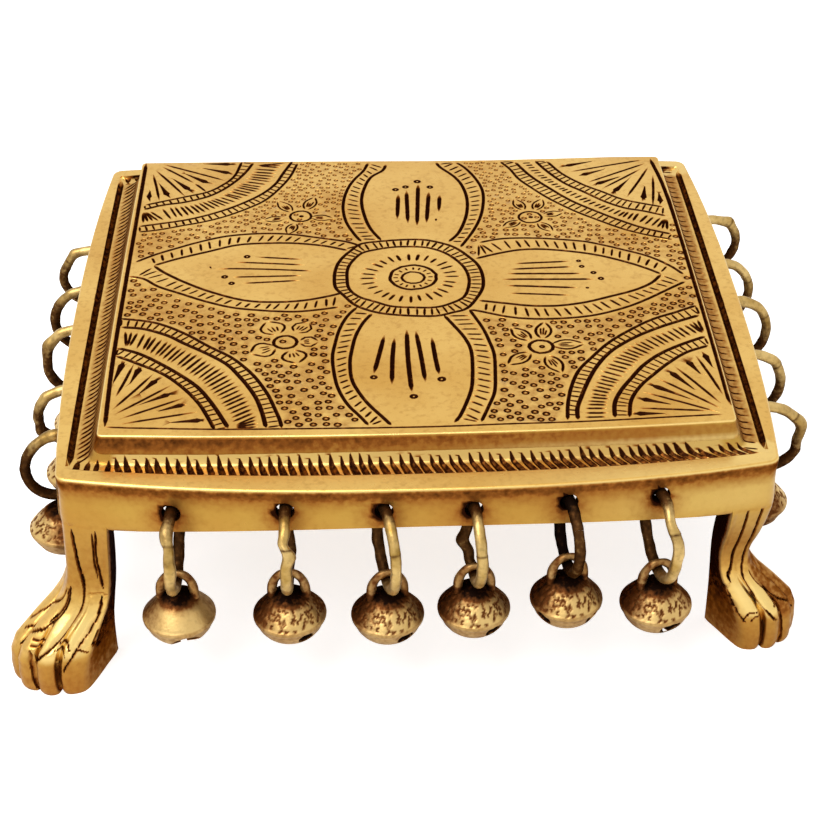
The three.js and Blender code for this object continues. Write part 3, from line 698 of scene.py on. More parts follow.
def panelDesign():
    cuts = []
    # border lines
    cuts.append(stroke([(-72.3, 66), (-72.4, 30), (-72.5, -30), (-71.8, -63)], 0.95, step=3))
    cuts.append(stroke([(71, 65), (72.4, 50), (73, 30), (73.1, 0), (73.1, -30), (72.9, -60)], 0.95, step=3))
    cuts.append(stroke([(-72, -62.7), (-66, -63.5), (-40, -65), (0, -65.8), (20, -65.4), (40, -65),
                        (71, -63.5)], 0.5, step=3, depth=0.12))
    # medallion
    cuts.append(stroke(medallionOuter, 0.8, closed=True))
    cuts.append(stroke(medallionInner, 0.75, closed=True))
    cuts += crossTicks(medallionOuter + medallionOuter[:1], medallionInner + medallionInner[:1], 1.95, 0.5, 0.1,
                       wobble=0.3, seed=2)
    rng = np.random.default_rng(4)
    rays, dashes = 28, 16
    for k in range(rays):
        t = 2 * math.pi * (k + rng.uniform(-0.12, 0.12)) / rays
        near, far = rng.uniform(8.2, 9), rng.uniform(12.2, 13.2)
        c, s = math.cos(t), math.sin(t)
        cuts.append(stroke([(0.2 + near * c, 1 + near * s), (0.1 + far * c, 1 + far * 0.98 * s)],
                           rng.uniform(0.5, 0.75), step=9))
    cuts += [circle(1, 1.2, 6, 0.75, 3), circle(1, 1, 2.9, 0.6, 5)]
    for k in range(dashes):
        t = 2 * math.pi * (k + rng.uniform(-0.1, 0.1)) / dashes
        c, s = math.cos(t), math.sin(t)
        cuts.append(stroke([(1 + 3.7 * c, 1.1 + 3.7 * s), (1 + 5.3 * c, 1.1 + 5.3 * s)], 0.4, step=9,
                           depth=0.14))
    # petals
    slants = {"left": (2.0, -1.6), "right": (2.0, -1.6), "front": (2.0, 2.0), "back": (2.0, 1.8)}
    for name, petal in petals.items():
        for k in (0, 1):
            cuts.append(stroke(petal["inner"][k], 0.8, taper=(0.3, 1)))
            cuts.append(stroke(petal["outer"][k], 0.75, taper=(0.6, 1)))
            cuts += crossTicks(petal["inner"][k], petal["outer"][k], 2.45, 0.52, 0.55, slants[name][k],
                               wobble=0.35, seed=len(cuts))
    for points, width, end in petalStrokes:
        cuts.append(stroke(points, width, taper=(4, 0.8), step=3, depth=0.38))
        if end:
            x, y, r = end
            cuts.append(circle(x, y, r * 0.6, r * 0.62, seed=len(cuts), depth=0.35))
    # corners
    for corner in corners.values():
        one, two, three, four = corner["arcs"]
        weight = corner["weight"]
        cuts += [stroke(one, 0.8 * weight), stroke(two, 0.95 * weight), stroke(three, 0.95 * weight),
                 stroke(four, 0.85 * weight)]
        cuts += crossTicks(one, two, 1.95, 0.45, 0.1, wobble=0.25, seed=len(cuts))
        cuts += crossTicks(three, four, 1.9, 0.42, 0.1, wobble=0.25, seed=len(cuts))
        cuts += crossTicks(two, three, corner["spacing"], corner["tick"], 1.4, corner["slant"], start=1.2,
                           wobble=0.3, depth=0.3, seed=len(cuts))
        for a, b in corner["fan"]:
            cuts.append(stroke([a, ((a[0] + b[0]) / 2 + 0.15, (a[1] + b[1]) / 2), b], 0.6, taper=(0.6, 3),
                               step=4))
        for a, b in corner["drops"]:
            way = np.array(b) - a
            pts = smoothCurve([a, np.array(a) + way * 0.5, b], 0.8)
            half = np.interp(np.linspace(0, 1, len(pts)), (0, 0.12, 0.35, 1), (0.35, 0.85, 0.55, 0.08))
            cuts.append({"points": pts, "half": half, "closed": False, "depth": 0.34})
    for k, flower in enumerate(flowers):
        cuts += flowerStrokes(flower, 20 + k)
    return cuts


def punchPlaces(strokes):
    # Ring punches scattered over the ground between the petals, the corners and the flowers
    rng = np.random.default_rng(7)
    ground = [(-71.3, 65.2), (-71.6, -63.2), (0, -64.6), (72, -62.8), (72.2, 0), (71.4, 64.6)]
    shut = [medallionOuter]
    for petal in petals.values():
        shut.append(petal["outer"][0] + petal["outer"][1][::-1])
    for name, (cx, cy) in (("frontLeft", (-74, -67)), ("frontRight", (75, -67)), ("backLeft", (-74, 68)),
                           ("backRight", (74, 68))):
        arc = corners[name]["arcs"][0]
        first = (cx, arc[0][1] if abs(arc[0][0]) > 50 else cy)
        last = (arc[-1][0] if abs(arc[-1][0]) < 50 else cx, cy)
        shut.append([first] + arc + [last, (cx, cy)])
    spots = rng.uniform((-72, -65), (73, 66), (60000, 2))
    keep = inside(spots, ground)
    for polygon in shut:
        keep &= ~inside(spots, polygon)
    spots = spots[keep]
    taken = {}
    for groove in strokes:
        for (x, y), h in zip(groove["points"], groove["half"]):
            taken.setdefault((int(x // cellSize), int(y // cellSize)), []).append((x, y, h + 0.18, True))
    chosen = []
    for x, y in spots:
        fine = float(np.interp(y + 0.18 * abs(x), (18, 52), (0, 1)))
        r = (1.02 - 0.32 * fine) * rng.uniform(0.92, 1.06)
        gap = 2 * r + 0.22
        i, j = int(x // cellSize), int(y // cellSize)
        if not any(math.hypot(x - tx, y - ty) < (r + th if cutLine else gap)
                   for a in (i - 1, i, i + 1) for b in (j - 1, j, j + 1)
                   for tx, ty, th, cutLine in taken.get((a, b), ())):
            taken.setdefault((i, j), []).append((x, y, r, False))
            chosen.append((float(x), float(y), float(r)))
    return chosen


# The chiselled band round the panel: teeth along the front and the back, whose tips climb the foot of the
# cove, and along each side a wide groove with hatching inside it
chiselling = {
    "toothStep": 2.35, "toothWidth": 1.6, "cornerTooth": 1.35, "tipOut": 1.3,
    "grooveMiddle": 79.85, "grooveWidth": 1.4,
    # outer end, inner end, spacing and slant
    "leftHatch": (-78.7, -74.8, 2.0, 4.4), "rightHatch": (78.6, 75.0, 2.9, 0.7)}


def tooth(base, tip, width, depth=0.5):
    pts = smoothCurve([base, tip], 0.8)
    half = width * np.interp(np.linspace(0, 1, len(pts)), (0, 0.5, 0.8, 1), (0.5, 0.44, 0.3, 0.06))
    return {"points": pts, "half": half, "closed": False, "depth": depth}


def bandDesign():
    rng = np.random.default_rng(31)
    cuts = []
    for side in (-1, 1):
        edge = [belly(x, side * (band["depth"] / 2 - 0.35), band) for x in np.linspace(-79, 79, 60)]
        cuts.append(stroke(edge, 0.36, step=3, depth=0.16))
        x = -78.2
        while x < 77.5:
            run = -side * x  # the row is read in the same way round on the front and the back
            base = np.array(belly(x, side * (band["depth"] / 2 - 1.15), band))
            foot = belly(min(max(x, -71), 71), side * panel["depth"] / 2, panel)[1]
            foot += side * chiselling["tipOut"]
            lean = side * np.interp(run, (-70, -20, 50, 62), (0.9, 1.3, 3.2, 4.2))
            if run < -70 or run > 66:  # short teeth in the corners
                tip = (base[0] + (0.2 if x < 0 else -3.4), base[1] - side * (2.8 if x < 0 else 2.6))
                width = chiselling["cornerTooth"]
            else:
                tip = (base[0] + lean, foot + side * rng.uniform(0, 0.5))
                width = chiselling["toothWidth"]
            cuts.append(tooth(base, tip, width * rng.uniform(0.85, 1.1), rng.uniform(0.4, 0.55)))
            x += chiselling["toothStep"] * rng.uniform(0.88, 1.12)
    reach = band["depth"] / 2 - 2.2
    for side, hatch in ((-1, "leftHatch"), (1, "rightHatch")):
        middle = side * chiselling["grooveMiddle"]
        line = [belly(middle, y, band) for y in np.linspace(-reach, reach, 24)]
        cuts.append(stroke(line, chiselling["grooveWidth"], taper=(0.5, 0.5), step=2.5, depth=0.6))
        outer, inner, spacing, slant = chiselling[hatch]
        y = -reach
        while y < reach - slant:
            cuts.append(stroke([(outer, y + rng.uniform(-0.1, 0.1)), (inner, y + slant)],
                               0.42 * rng.uniform(0.85, 1.2), taper=(0.4, 0.8), step=9, depth=0.3))
            y += spacing * rng.uniform(0.85, 1.15)
    return cuts


panelStrokes = panelDesign()
panelPunches = punchPlaces(panelStrokes)
bandStrokes = bandDesign()


def backWave(x, y, fade=1.0):
    # The panel's back edge isn't quite straight
    half = panel["depth"] / 2
    wave = np.interp(x, (-73, -40, -10, 18, 45, 60, 73), (1.3, 1.0, 0.2, -0.6, -0.1, 0.3, 0))
    return y + (fade * wave * (min(y, half) / half) ** 4 if y > 0 else 0)


def engravedPanel():
    top = outlineOf(panel, 0.45)
    flat, tris, cuts, dark, rimLoop, _ = engravedSheet(top, None, panelStrokes, panelPunches, 3.5, 11)
    wave = np.array([noise.noise(Vector((x / 14, y / 14, 0.3))) for x, y in flat]) * 0.06
    points = [(x, y, panelTop - 0.07 + w - c) for (x, y), w, c in zip(flat, wave, cuts)]
    faces = [tuple(t) for t in tris]
    # down the rolled edge and the cove, as far as the chiselled band's sheet
    loops = [level(outlineOf(panel, -out), z) for out, z in (
        (-0.13, 63.8), (0.0, 63.68), (0.04, 63.4), (0.12, 62.9), (0.3, 62.1), (0.6, 61.2), (1.0, 60.2),
        (1.22, 59.6), (1.24, 57.1))]
    first = len(points)
    points.extend(loops[0])
    mouth = list(range(first, len(points)))
    faces.extend(bridge(points, rimLoop, mouth))
    last = stack(points, faces, loops[1:], mouth)
    pocket = [level(outlineOf(panel, pocketInset), z) for z in (57.1, 60.2)]
    last = stack(points, faces, pocket, last)
    faces.append(tuple(last))
    points = [(x, backWave(x, y), z) for x, y, z in points]
    piece = bareObject("engraved_panel", points, faces)
    settle(piece, "table", castBrass, ("table_casting",))
    patinaAndShade, tarnishAndShade, ground, wearAndSheen = (np.zeros(len(points)) for _ in range(4))
    patinaAndShade[:len(cuts)] = dark
    ground[:len(cuts)] = nearPunch(flat, panelPunches) * np.interp(flat[:, 1], (-60, 0, 45), (0.22, 0.16, 0.05))
    for i, (x, y, z) in enumerate(points[len(cuts):], len(cuts)):
        # painted reflection: the cove is dulled and darkened brown under the rolled edge, standing in for the
        # dark teeth that it mirrors; less so towards the right front corner and least at the sides and back
        rubbedAndReflected = np.interp(x, (-74, -40, 20, 66), (1.3, 1.15, 0.85, 0.5)) if y < -60 else 0.35
        patinaAndShade[i] = rubbedAndReflected * np.interp(z, (57, 59.6, 60.6, 62, 63.2, 63.5), (0.14, 0.2, 0.32, 0.42, 0.44, 0))
        tarnishAndShade[i] = 0 if z > 63.5 else 0.9
        # painted reflection: a bright streak along the foot of the cove towards the right front corner
        foot = 0.8 * np.interp(x, (5, 50), (0, 1)) * (y < -60) * np.interp(z, (59, 60.2, 61.2), (1, 0.9, 0))
        wearAndSheen[i] = 0.7 if z > 63.5 else foot
    for name, values in (("patinaAndShade", patinaAndShade), ("tarnishAndShade", tarnishAndShade), ("ground", ground), ("rubbedAndReflected", wearAndSheen)):
        addAttribute(piece, name, values)


def rimAndSkirt():
    # The sheet runs from the rim's edge to a little way up the cove
    outer = outlineOf(rim, rimBevel)
    inner = outlineOf(panel, -1.1)
    folds = [dict(stroke(outline, 0.4, closed=True, step=9), depth=0) for outline in (
        outlineOf(band), outlineOf(rim, 1.1), outlineOf(panel, -1.6), outlineOf(panel, -2.2))]
    flat, tris, cuts, dark, outerLoop, innerLoop = engravedSheet(outer, inner, folds + bandStrokes, [], 2.6, 5)
    near = nearestOf(level(outlineOf(panel, 0, 0.3), 0))
    away = np.array([near.find((x, y, 0))[2] for x, y in flat])
    sunk = np.where(inside(flat, outlineOf(band, 0.2)), 0.6, 0)
    height = np.interp(away, (1.1, 1.25, 1.45, 1.95, 2.45, 3), (59.9, 59.62, 59.2, 58.3, 57.62, 57.38))
    height = np.where(away < 3, height, rimTop - 0.02 - sunk) - cuts
    fades = np.clip(1 - (away - 2.5) / 4, 0, 1)
    points = [(x, backWave(x, y, f), z) for (x, y), z, f in zip(flat, height, fades)]
    faces = [tuple(t) for t in tris]
    # a rounded edge, then the wall, very slightly hollow under the edge
    walls = [level(outlineOf(rim, inset), z) for inset, z in (
        (0.42, 57.93), (0.15, 57.7), (0.02, 57.3), (0.03, 56.8), (0.14, 55.7), (0.26, 54.4), (0.3, 53),
        (0.27, 51.6), (0.2, 50.2), (0.13, 48.8), (0.08, 47.4), (0.06, 46), (0.12, 44.9), (0.4, 44.42))]
    first = len(points)
    points.extend(walls[0])
    edge = list(range(first, len(points)))
    faces.extend(bridge(points, outerLoop, edge))
    last = stack(points, faces, walls[1:], edge)
    under = [level(outlineOf(rim, inset), z)
             for inset, z in ((2.6, 44.42), (2.98, 44.8), (2.98, skirt["under"]))]
    last = stack(points, faces, under, last)
    # the outlines of the rim and the panel differ in their number of points
    first = len(points)
    points.extend(level(outlineOf(panel, pocketInset), skirt["under"]))
    mouth = list(range(first, len(points)))
    faces.extend(bridge(points, last, mouth))
    last = stack(points, faces, [level(outlineOf(panel, pocketInset), 57.2)], mouth)
    faces.extend(bridge(points, last, innerLoop))
    # painted reflection: the sheet beside the cove is dulled as the cove is, so that the two meet evenly
    tarnishAndShade = np.where(away < 2.7, 0.8, np.where(sunk > 0, 0.15, 0.0))
    x, y = flat[:, 0], flat[:, 1]
    sides = np.interp(abs(x), (74.2, 75, 78.7, 79.4), (0.3, 1, 1, 0)) * (abs(y) < 66)
    sides = sides * np.where(x < 0, 0.2, 0.27)
    # painted highlight: the band between the teeth is brightened, more on the left; the border at the front and
    # back is brightened more towards the right
    onTeeth, onBorder = np.interp(x, (-60, 70), (0.5, 0.3)), np.interp(x, (10, 50), (0.1, 0.55))
    wearAndSheen = np.where((sunk > 0) & (abs(x) < 70), onTeeth, onBorder * (abs(y) > 66) * (away > 2.7))
    return points, faces, np.maximum(dark, sides), tarnishAndShade, wearAndSheen


def bridge(points, one, two):
    # Triangles between two loops round the same middle with different numbers of points
    def turns(loop):
        angles = [math.atan2(points[i][1], points[i][0]) for i in loop]
        start = min(range(len(loop)), key=lambda k: angles[k])
        order = [loop[(start + k) % len(loop)] for k in range(len(loop))]
        return order, [math.atan2(points[i][1], points[i][0]) for i in order]

    a, angleA = turns(one)
    b, angleB = turns(two)
    faces, i, j = [], 0, 0
    while i < len(a) or j < len(b):
        nextA = angleA[i + 1] if i + 1 < len(a) else math.pi + (angleA[0] + math.pi if i + 1 == len(a) else 9)
        nextB = angleB[j + 1] if j + 1 < len(b) else math.pi + (angleB[0] + math.pi if j + 1 == len(b) else 9)
        if nextA <= nextB:
            faces.append((a[i % len(a)], a[(i + 1) % len(a)], b[j % len(b)]))
            i += 1
        else:
            faces.append((a[i % len(a)], b[(j + 1) % len(b)], b[j % len(b)]))
            j += 1
    return faces


# Legs. Sections are the same outline of points at every height, as in the CAD, and closer together.

shank = {"width": 12.2, "depth": 13.6, "step": 0.1}
shankShape = [
    (0, 0), (0, 0.35), (0, 0.75), (0.04, 1), (0.2, 1), (0.34, 1), (0.42, 1), (0.52, 1), (0.68, 1),
    (0.84, 0.99), (0.95, 0.95), (0.99, 0.84), (1, 0.7), (1, 0.58), (1, 0.5), (1, 0.42), (1, 0.28),
    (1, 0.14), (0.9, 0), (0.6, 0), (0.3, 0), (0.12, 0)]
pawShape = [
    (0, 0), (0.09, 0.24), (0.2, 0.5), (0.28, 0.63), (0.4, 0.68), (0.48, 0.66), (0.51, 0.58),
    (0.55, 0.67), (0.63, 0.69), (0.71, 0.64), (0.7, 0.55), (0.77, 0.61), (0.87, 0.58), (0.91, 0.5),
    (0.85, 0.44), (0.94, 0.45), (1, 0.37), (0.985, 0.27), (0.82, 0.17), (0.56, 0.09), (0.26, 0.01),
    (0.12, -0.03)]
# height as a share of the ankle's, how much of the paw shows there, and how much of its inner toe
pawLevels = [(0, 0.94, 0.94), (0.04, 0.985, 0.985), (0.18, 1, 0.96), (0.33, 0.98, 0.82), (0.44, 0.9, 0.66),
             (0.59, 0.6, 0.4), (0.72, 0.3, 0.18), (0.84, 0.11, 0.06), (0.93, 0.03, 0.01), (1, 0, 0)]
innerToe = (0, 0.6, 1, 1, 0.7, 0.3)
pawReach, ankleHeight, heelIn = 24.03, 27, (8.4, 7.8)
# What the chisel cut into each foot: places as (point number along the outline, height), then the width
# and the depth of the cut in mm
wideFoot = {
    "size": 1, "turn": 0, "heel": (1, 1), "shank": 0.92, "sideFilm": 0.1,
    "ankleOut": (-0.07, 0.12), "ankleIn": (0.87, 0.95),
    "cuts": [
        ([(8.7, 43.2), (8.4, 37.2), (8, 30.6), (7.5, 27), (7.1, 24), (6.5, 20), (6.5, 17.6), (7.4, 14.8),
          (8, 13.2), (9, 10.6), (10.2, 8)], 0.8, 0.6),
        ([(7.3, 25), (6.5, 20), (6.6, 17.6), (7.4, 14.8), (8.2, 12.8)], 2.6, 0.35),
        ([(9.2, 25.6), (8.9, 21.2), (9.4, 18.4), (11.1, 16.2), (13.4, 13.9), (14.8, 11.4)], 0.7, 0.5),
        ([(9.5, 24.6), (9.3, 21.4), (9.9, 18.8), (11, 17.4)], 0.6, 0.4),
        ([(9.9, 24.8), (11.3, 21.2), (15, 17.6), (16, 15.2)], 0.55, 0.35),
        ([(4.7, 43.2), (4.7, 34.2), (4.2, 28.5), (3.8, 25)], 0.65, 0.4),
        ([(5.3, 42.6), (5.2, 34), (4.7, 29)], 0.55, 0.35),
        ([(3.8, 22.4), (3.6, 18.4), (3.7, 15.2), (4, 12.8), (4.3, 10), (4.8, 7.2)], 0.75, 0.55),
        ([(3.7, 18.4), (3.8, 15), (4.2, 11)], 2.4, 0.3),
        ([(2.4, 17.2), (2, 13.5), (1.8, 9.4)], 0.6, 0.4), ([(3, 15), (2.8, 11.5)], 0.48, 0.2),
        ([(6.4, 23.2), (4.4, 23.3), (3.1, 22.8)], 1.4, 0.35),
        ([(15.7, 14), (14.6, 14.6), (13, 13.6)], 0.5, 0.22),
        ([(11.9, 14.1), (10.4, 13.9), (9.3, 12.6)], 0.5, 0.22),
        ([(11.7, 12.9), (10.4, 12.7), (9.6, 11.6)], 0.5, 0.22),
        ([(7.2, 14.2), (5.4, 13.4), (4.7, 12)], 0.5, 0.22),
        ([(7.4, 13), (5.7, 12.2), (5, 10.8)], 0.5, 0.22), ([(4, 11.9), (3.1, 10.6)], 0.48, 0.2),
        ([(11.4, 11.6), (10.7, 7), (10.6, 0.8)], 1.9, 0.8), ([(6.5, 9.4), (6.2, 4), (6.4, 0.4)], 2.0, 0.9)]}
tuckedFoot = {
    "size": 0.85, "turn": -0.13, "heel": (1.27, 1.68), "shank": 0.88, "sideFilm": 0.38,
    "ankleOut": (0.34, 0.42), "ankleIn": (1, 1.08),
    "cuts": [
        ([(5.9, 44.4), (6.1, 37.2), (6.4, 31), (6, 27), (5, 23.2), (4, 20.8), (3.9, 18.8)], 0.75, 0.55),
        ([(8.3, 45), (8.4, 39), (8.8, 30), (8.6, 26), (7.8, 22.4), (7, 19.2), (6.3, 16), (6.3, 13.4),
          (7.3, 11.4), (8.4, 8.8)], 0.8, 0.6),
        ([(8.6, 26), (7.8, 22.4), (7, 19.2), (6.4, 15)], 2.4, 0.3),
        ([(2.9, 16.5), (2.8, 12.4), (3.4, 8.4)], 0.75, 0.5), ([(3, 14), (2.9, 11)], 2.2, 0.3),
        ([(9.1, 21.4), (9.5, 17), (11.2, 13.9), (14.9, 8.8)], 0.75, 0.5),
        ([(1.1, 15.4), (3.7, 18.2)], 1.2, 0.3),
        ([(3.5, 9.4), (4.1, 10.9), (5.1, 11.2)], 0.5, 0.22), ([(4, 8.8), (4.6, 9.9), (5.4, 10)], 0.48, 0.2),
        ([(8.7, 12.4), (9.6, 13.2), (10.4, 12.6)], 0.5, 0.22),
        ([(5.6, 7.4), (6, 4), (6.4, 0.4)], 1.9, 0.85), ([(10.4, 9.6), (10.6, 5), (10.9, 0.8)], 1.8, 0.9)]}


def legOutline(foot, out, into, pawShare, innerShare):
    c = math.cos(foot["turn"]) * pawReach * foot["size"]
    s = math.sin(foot["turn"]) * pawReach * foot["size"]
    points = []
    for k, ((u, v), (a, b)) in enumerate(zip(shankShape, pawShape)):
        share = pawShare + (innerToe[k] if k < len(innerToe) else 0) * (innerShare - pawShare)
        square = (-into[0] + u * (into[0] - out[0]), -into[1] + v * (into[1] - out[1]))
        paw = (-heelIn[0] * foot["heel"][0] + a * c - b * s, -heelIn[1] * foot["heel"][1] + a * s + b * c)
        points.append([q + (p - q) * share for q, p in zip(square, paw)])
    return points


def legSection(foot, z):
    # The outline at a height, outwards from the corner of the rim, and how much of the rim's bow it takes
    width, depth = shank["width"] * foot["shank"], shank["depth"]
    ankleOut = (width * foot["ankleOut"][0], depth * foot["ankleOut"][1])
    ankleIn = (width * foot["ankleIn"][0], depth * foot["ankleIn"][1])
    if z <= ankleHeight:
        heights, shares, innerShares = (np.array(column) for column in zip(*pawLevels))
        return legOutline(foot, ankleOut, ankleIn, float(np.interp(z, heights * ankleHeight, shares)),
                          float(np.interp(z, heights * ankleHeight, innerShares))), 0
    up = np.interp(z, (27, 35.7, 44.4, 58), (0, 0.6, 1, 1))
    sunk = np.interp(z, (45.2, 47), (0, 0.6))  # behind the skirt's face
    out = [o + (shank["step"] - o) * up + sunk for o in ankleOut]
    into = [ankleIn[0] + (width - ankleIn[0]) * up, ankleIn[1] + (depth - ankleIn[1]) * up]
    return legOutline(foot, out, into, 0, 0), up


def easedSection(foot, z):
    # the mean of the sections near this height, so that the shank turns into the paw without a fold
    reach = 4 * np.interp(z, (19, 24, 38, 45), (0, 1, 1, 0))
    parts = [legSection(foot, z + reach * k) for k in (-1, -0.6, -0.2, 0.2, 0.6, 1)]
    return np.mean([shape for shape, _ in parts], axis=0), float(np.mean([bow for _, bow in parts]))


def legPiece(foot, signX, signY):
    rows = []
    heights = np.concatenate((np.arange(0, 6, 0.75), np.arange(6, 27, 0.36), np.arange(27, 46, 0.85),
                              (47, 50, 54.9)))
    # the outline is finest over the toes and the front
    numbers = np.concatenate([k + np.arange(n) / n for k, n in enumerate([3] * 3 + [9] * 13 + [3] * 6)])
    for z in heights:
        shape, bow = easedSection(foot, z)
        pts = [(signX * (rim["width"] / 2 + x), signY * (rim["depth"] / 2 + y)) for x, y in shape]
        pts = np.array([belly(x, y, rim, bow) for x, y in pts] if bow else pts)
        before, after, beyond = (np.roll(pts, k, axis=0) for k in (1, -1, -2))
        which, t = numbers.astype(int), (numbers % 1)[:, None]
        row = between(before[which], pts[which], after[which], beyond[which], t)
        rows.append(np.column_stack((row, np.full(len(row), z))))
    grid = np.array(rows)
    way = np.cross(np.roll(grid, -1, axis=1) - np.roll(grid, 1, axis=1), np.gradient(grid, axis=0))
    way /= np.linalg.norm(way, axis=2)[..., None] + 1e-9
    if ((grid - grid.mean(axis=1, keepdims=True)) * way).sum() < 0:
        way = -way
    cuts, marks = np.zeros(grid.shape[:2]), np.zeros(grid.shape[:2])
    for places, width, depth in foot["cuts"]:
        line = []
        for u, z in smoothCurve([(u, z / 2) for u, z in places], 0.12):
            row = int(np.argmin(np.abs(heights - 2 * z)))
            line.append(grid[row, int(np.argmin(np.abs(numbers - u)))])
        line = np.array(line)
        ends = np.minimum(np.arange(len(line)), np.arange(len(line))[::-1])
        half = width / 2 * np.sqrt(np.clip(ends / 6 + 0.1, 0, 1))
        low, high = line[:, 2].min() - width, line[:, 2].max() + width
        near = np.argwhere((grid[..., 2] > low) & (grid[..., 2] < high))
        spots = grid[near[:, 0], near[:, 1]]
        away = np.min(np.linalg.norm(spots[:, None] - line[None], axis=2) / half[None], axis=1)
        shape = np.clip(1 - away ** 1.7, 0, 1)
        cuts[near[:, 0], near[:, 1]] = np.maximum(cuts[near[:, 0], near[:, 1]], depth * shape)
        strength = 0.75 if width < 0.6 else 0.85 if width < 1.2 else 0.46 if depth > 0.5 else 0.14
        dark = np.clip(1.1 - 0.9 * away, 0, 1) * strength
        marks[near[:, 0], near[:, 1]] = np.maximum(marks[near[:, 0], near[:, 1]], dark)
    # painted shade on the inner faces, which face the dark underside; brown stays round the claws and up the
    # shank, and the toe tops are brightened, as wear and as a painted highlight
    across, up = np.meshgrid(numbers, heights)
    inner = np.interp(across, (0, 1.2, 2.4, 3, 17, 18, 22), (1, 1, 0.75, 0, 0, 1, 1))
    inner *= np.interp(up, (0, 10, 20, 30), (0.3, 0.55, 0.85, 0.95))
    claws = np.interp(up, (0, 4, 9, 11), (0.22, 0.2, 0.13, 0))
    warm = np.interp(up, (19, 25, 36, 46), (0, 0.17, 0.14, 0))
    side = foot["sideFilm"] * np.interp(across, (8.5, 10.5, 16, 17), (0, 1, 1, 0))
    side *= np.interp(up, (6, 10, 24, 30), (0, 1, 1, 0))
    marks = np.maximum.reduce((marks, inner, claws, warm, side))
    tarnishAndShade = np.interp(up, (8, 14, 21, 27), (0.7, 0, 0.1, 0.8))
    wearAndSheen = np.interp(up, (9.5, 11, 17, 22), (0, 0.75, 0.8, 0))
    wearAndSheen *= np.interp(across, (2.6, 4, 8, 11, 14), (0, 1, 1, 0.35, 0.1))
    grid = grid - way * cuts[..., None]
    grid[..., 2] = np.maximum(grid[..., 2], 0)
    grid[0, :, 2] = 0
    points, faces = [], []
    last = stack(points, faces, [[tuple(map(float, p)) for p in row] for row in grid])
    faces += [tuple(range(grid.shape[1])), tuple(last)]
    return points, faces, marks.ravel(), tarnishAndShade.ravel(), wearAndSheen.ravel()


def archTool(half, across, turned):
    # The opening under two facing sides, arched along its top
    reach, low, high = half - skirt["archInset"], skirt["foot"], 2 * skirt["middleFoot"] - skirt["foot"]
    profile = [(-reach, 40)] + [(reach * (2 * t - 1), low + (high - low) * 2 * t * (1 - t))
                               for t in np.linspace(0, 1, 49)] + [(reach, 40)]
    points = [(x, -across, z) for x, z in profile] + [(x, across, z) for x, z in profile]
    if turned:
        points = [(-y, x, z) for x, y, z in points]
    n = len(profile)
    faces = [tuple(range(n)), tuple(range(2 * n - 1, n - 1, -1))]
    faces += [(i, n + i, n + (i + 1) % n, (i + 1) % n) for i in range(n)]
    return bareObject("arch", points, faces)


outwards = {"front": (0, -1, 0), "back": (0, 1, 0), "left": (-1, 0, 0), "right": (1, 0, 0)}


def hangers():
    # Each hole's side, number and place, and its ring's joint
    found = []
    for name, joint in joints.items():
        if not name.startswith("swing_ring_"):
            continue
        side, number = name.split("_")[2:]
        at = (Vector(joint["pos_m"]) - tableMiddle) * 1000
        found.append((side, int(number), at, joint))
    return found


def castingBody():
    points, faces, *marks = rimAndSkirt()
    body = bareObject("rim_skirt_and_feet", points, faces)
    known = list(zip(points, *marks))
    cut(body, [archTool(rim["width"] / 2, 90, False), archTool(rim["depth"] / 2, 100, True)], "DIFFERENCE")
    feet = []
    for foot, sx, sy in ((wideFoot, -1, -1), (tuckedFoot, 1, -1), (wideFoot, 1, 1), (tuckedFoot, -1, 1)):
        points, faces, *marks = legPiece(foot, sx, sy)
        feet.append(bareObject("foot", points, faces))
        known += zip(points, *marks)
    cut(body, feet, "UNION")
    drills = []
    for side, _, at, _ in hangers():
        bpy.ops.mesh.primitive_cylinder_add(
            vertices=28, radius=skirt["holeRadius"] / 1000, depth=0.012,
            location=place(at - Vector((0, 0, skirt["holeDrop"]))))
        drill = bpy.context.object
        drill.rotation_euler = Vector(outwards[side]).to_track_quat("Z", "Y").to_euler()
        bpy.ops.object.transform_apply(location=True, rotation=True)
        drills.append(drill)
    cut(body, drills, "DIFFERENCE")
    settle(body, "table", castBrass, ("table_casting",))
    finishCasting(body, known)


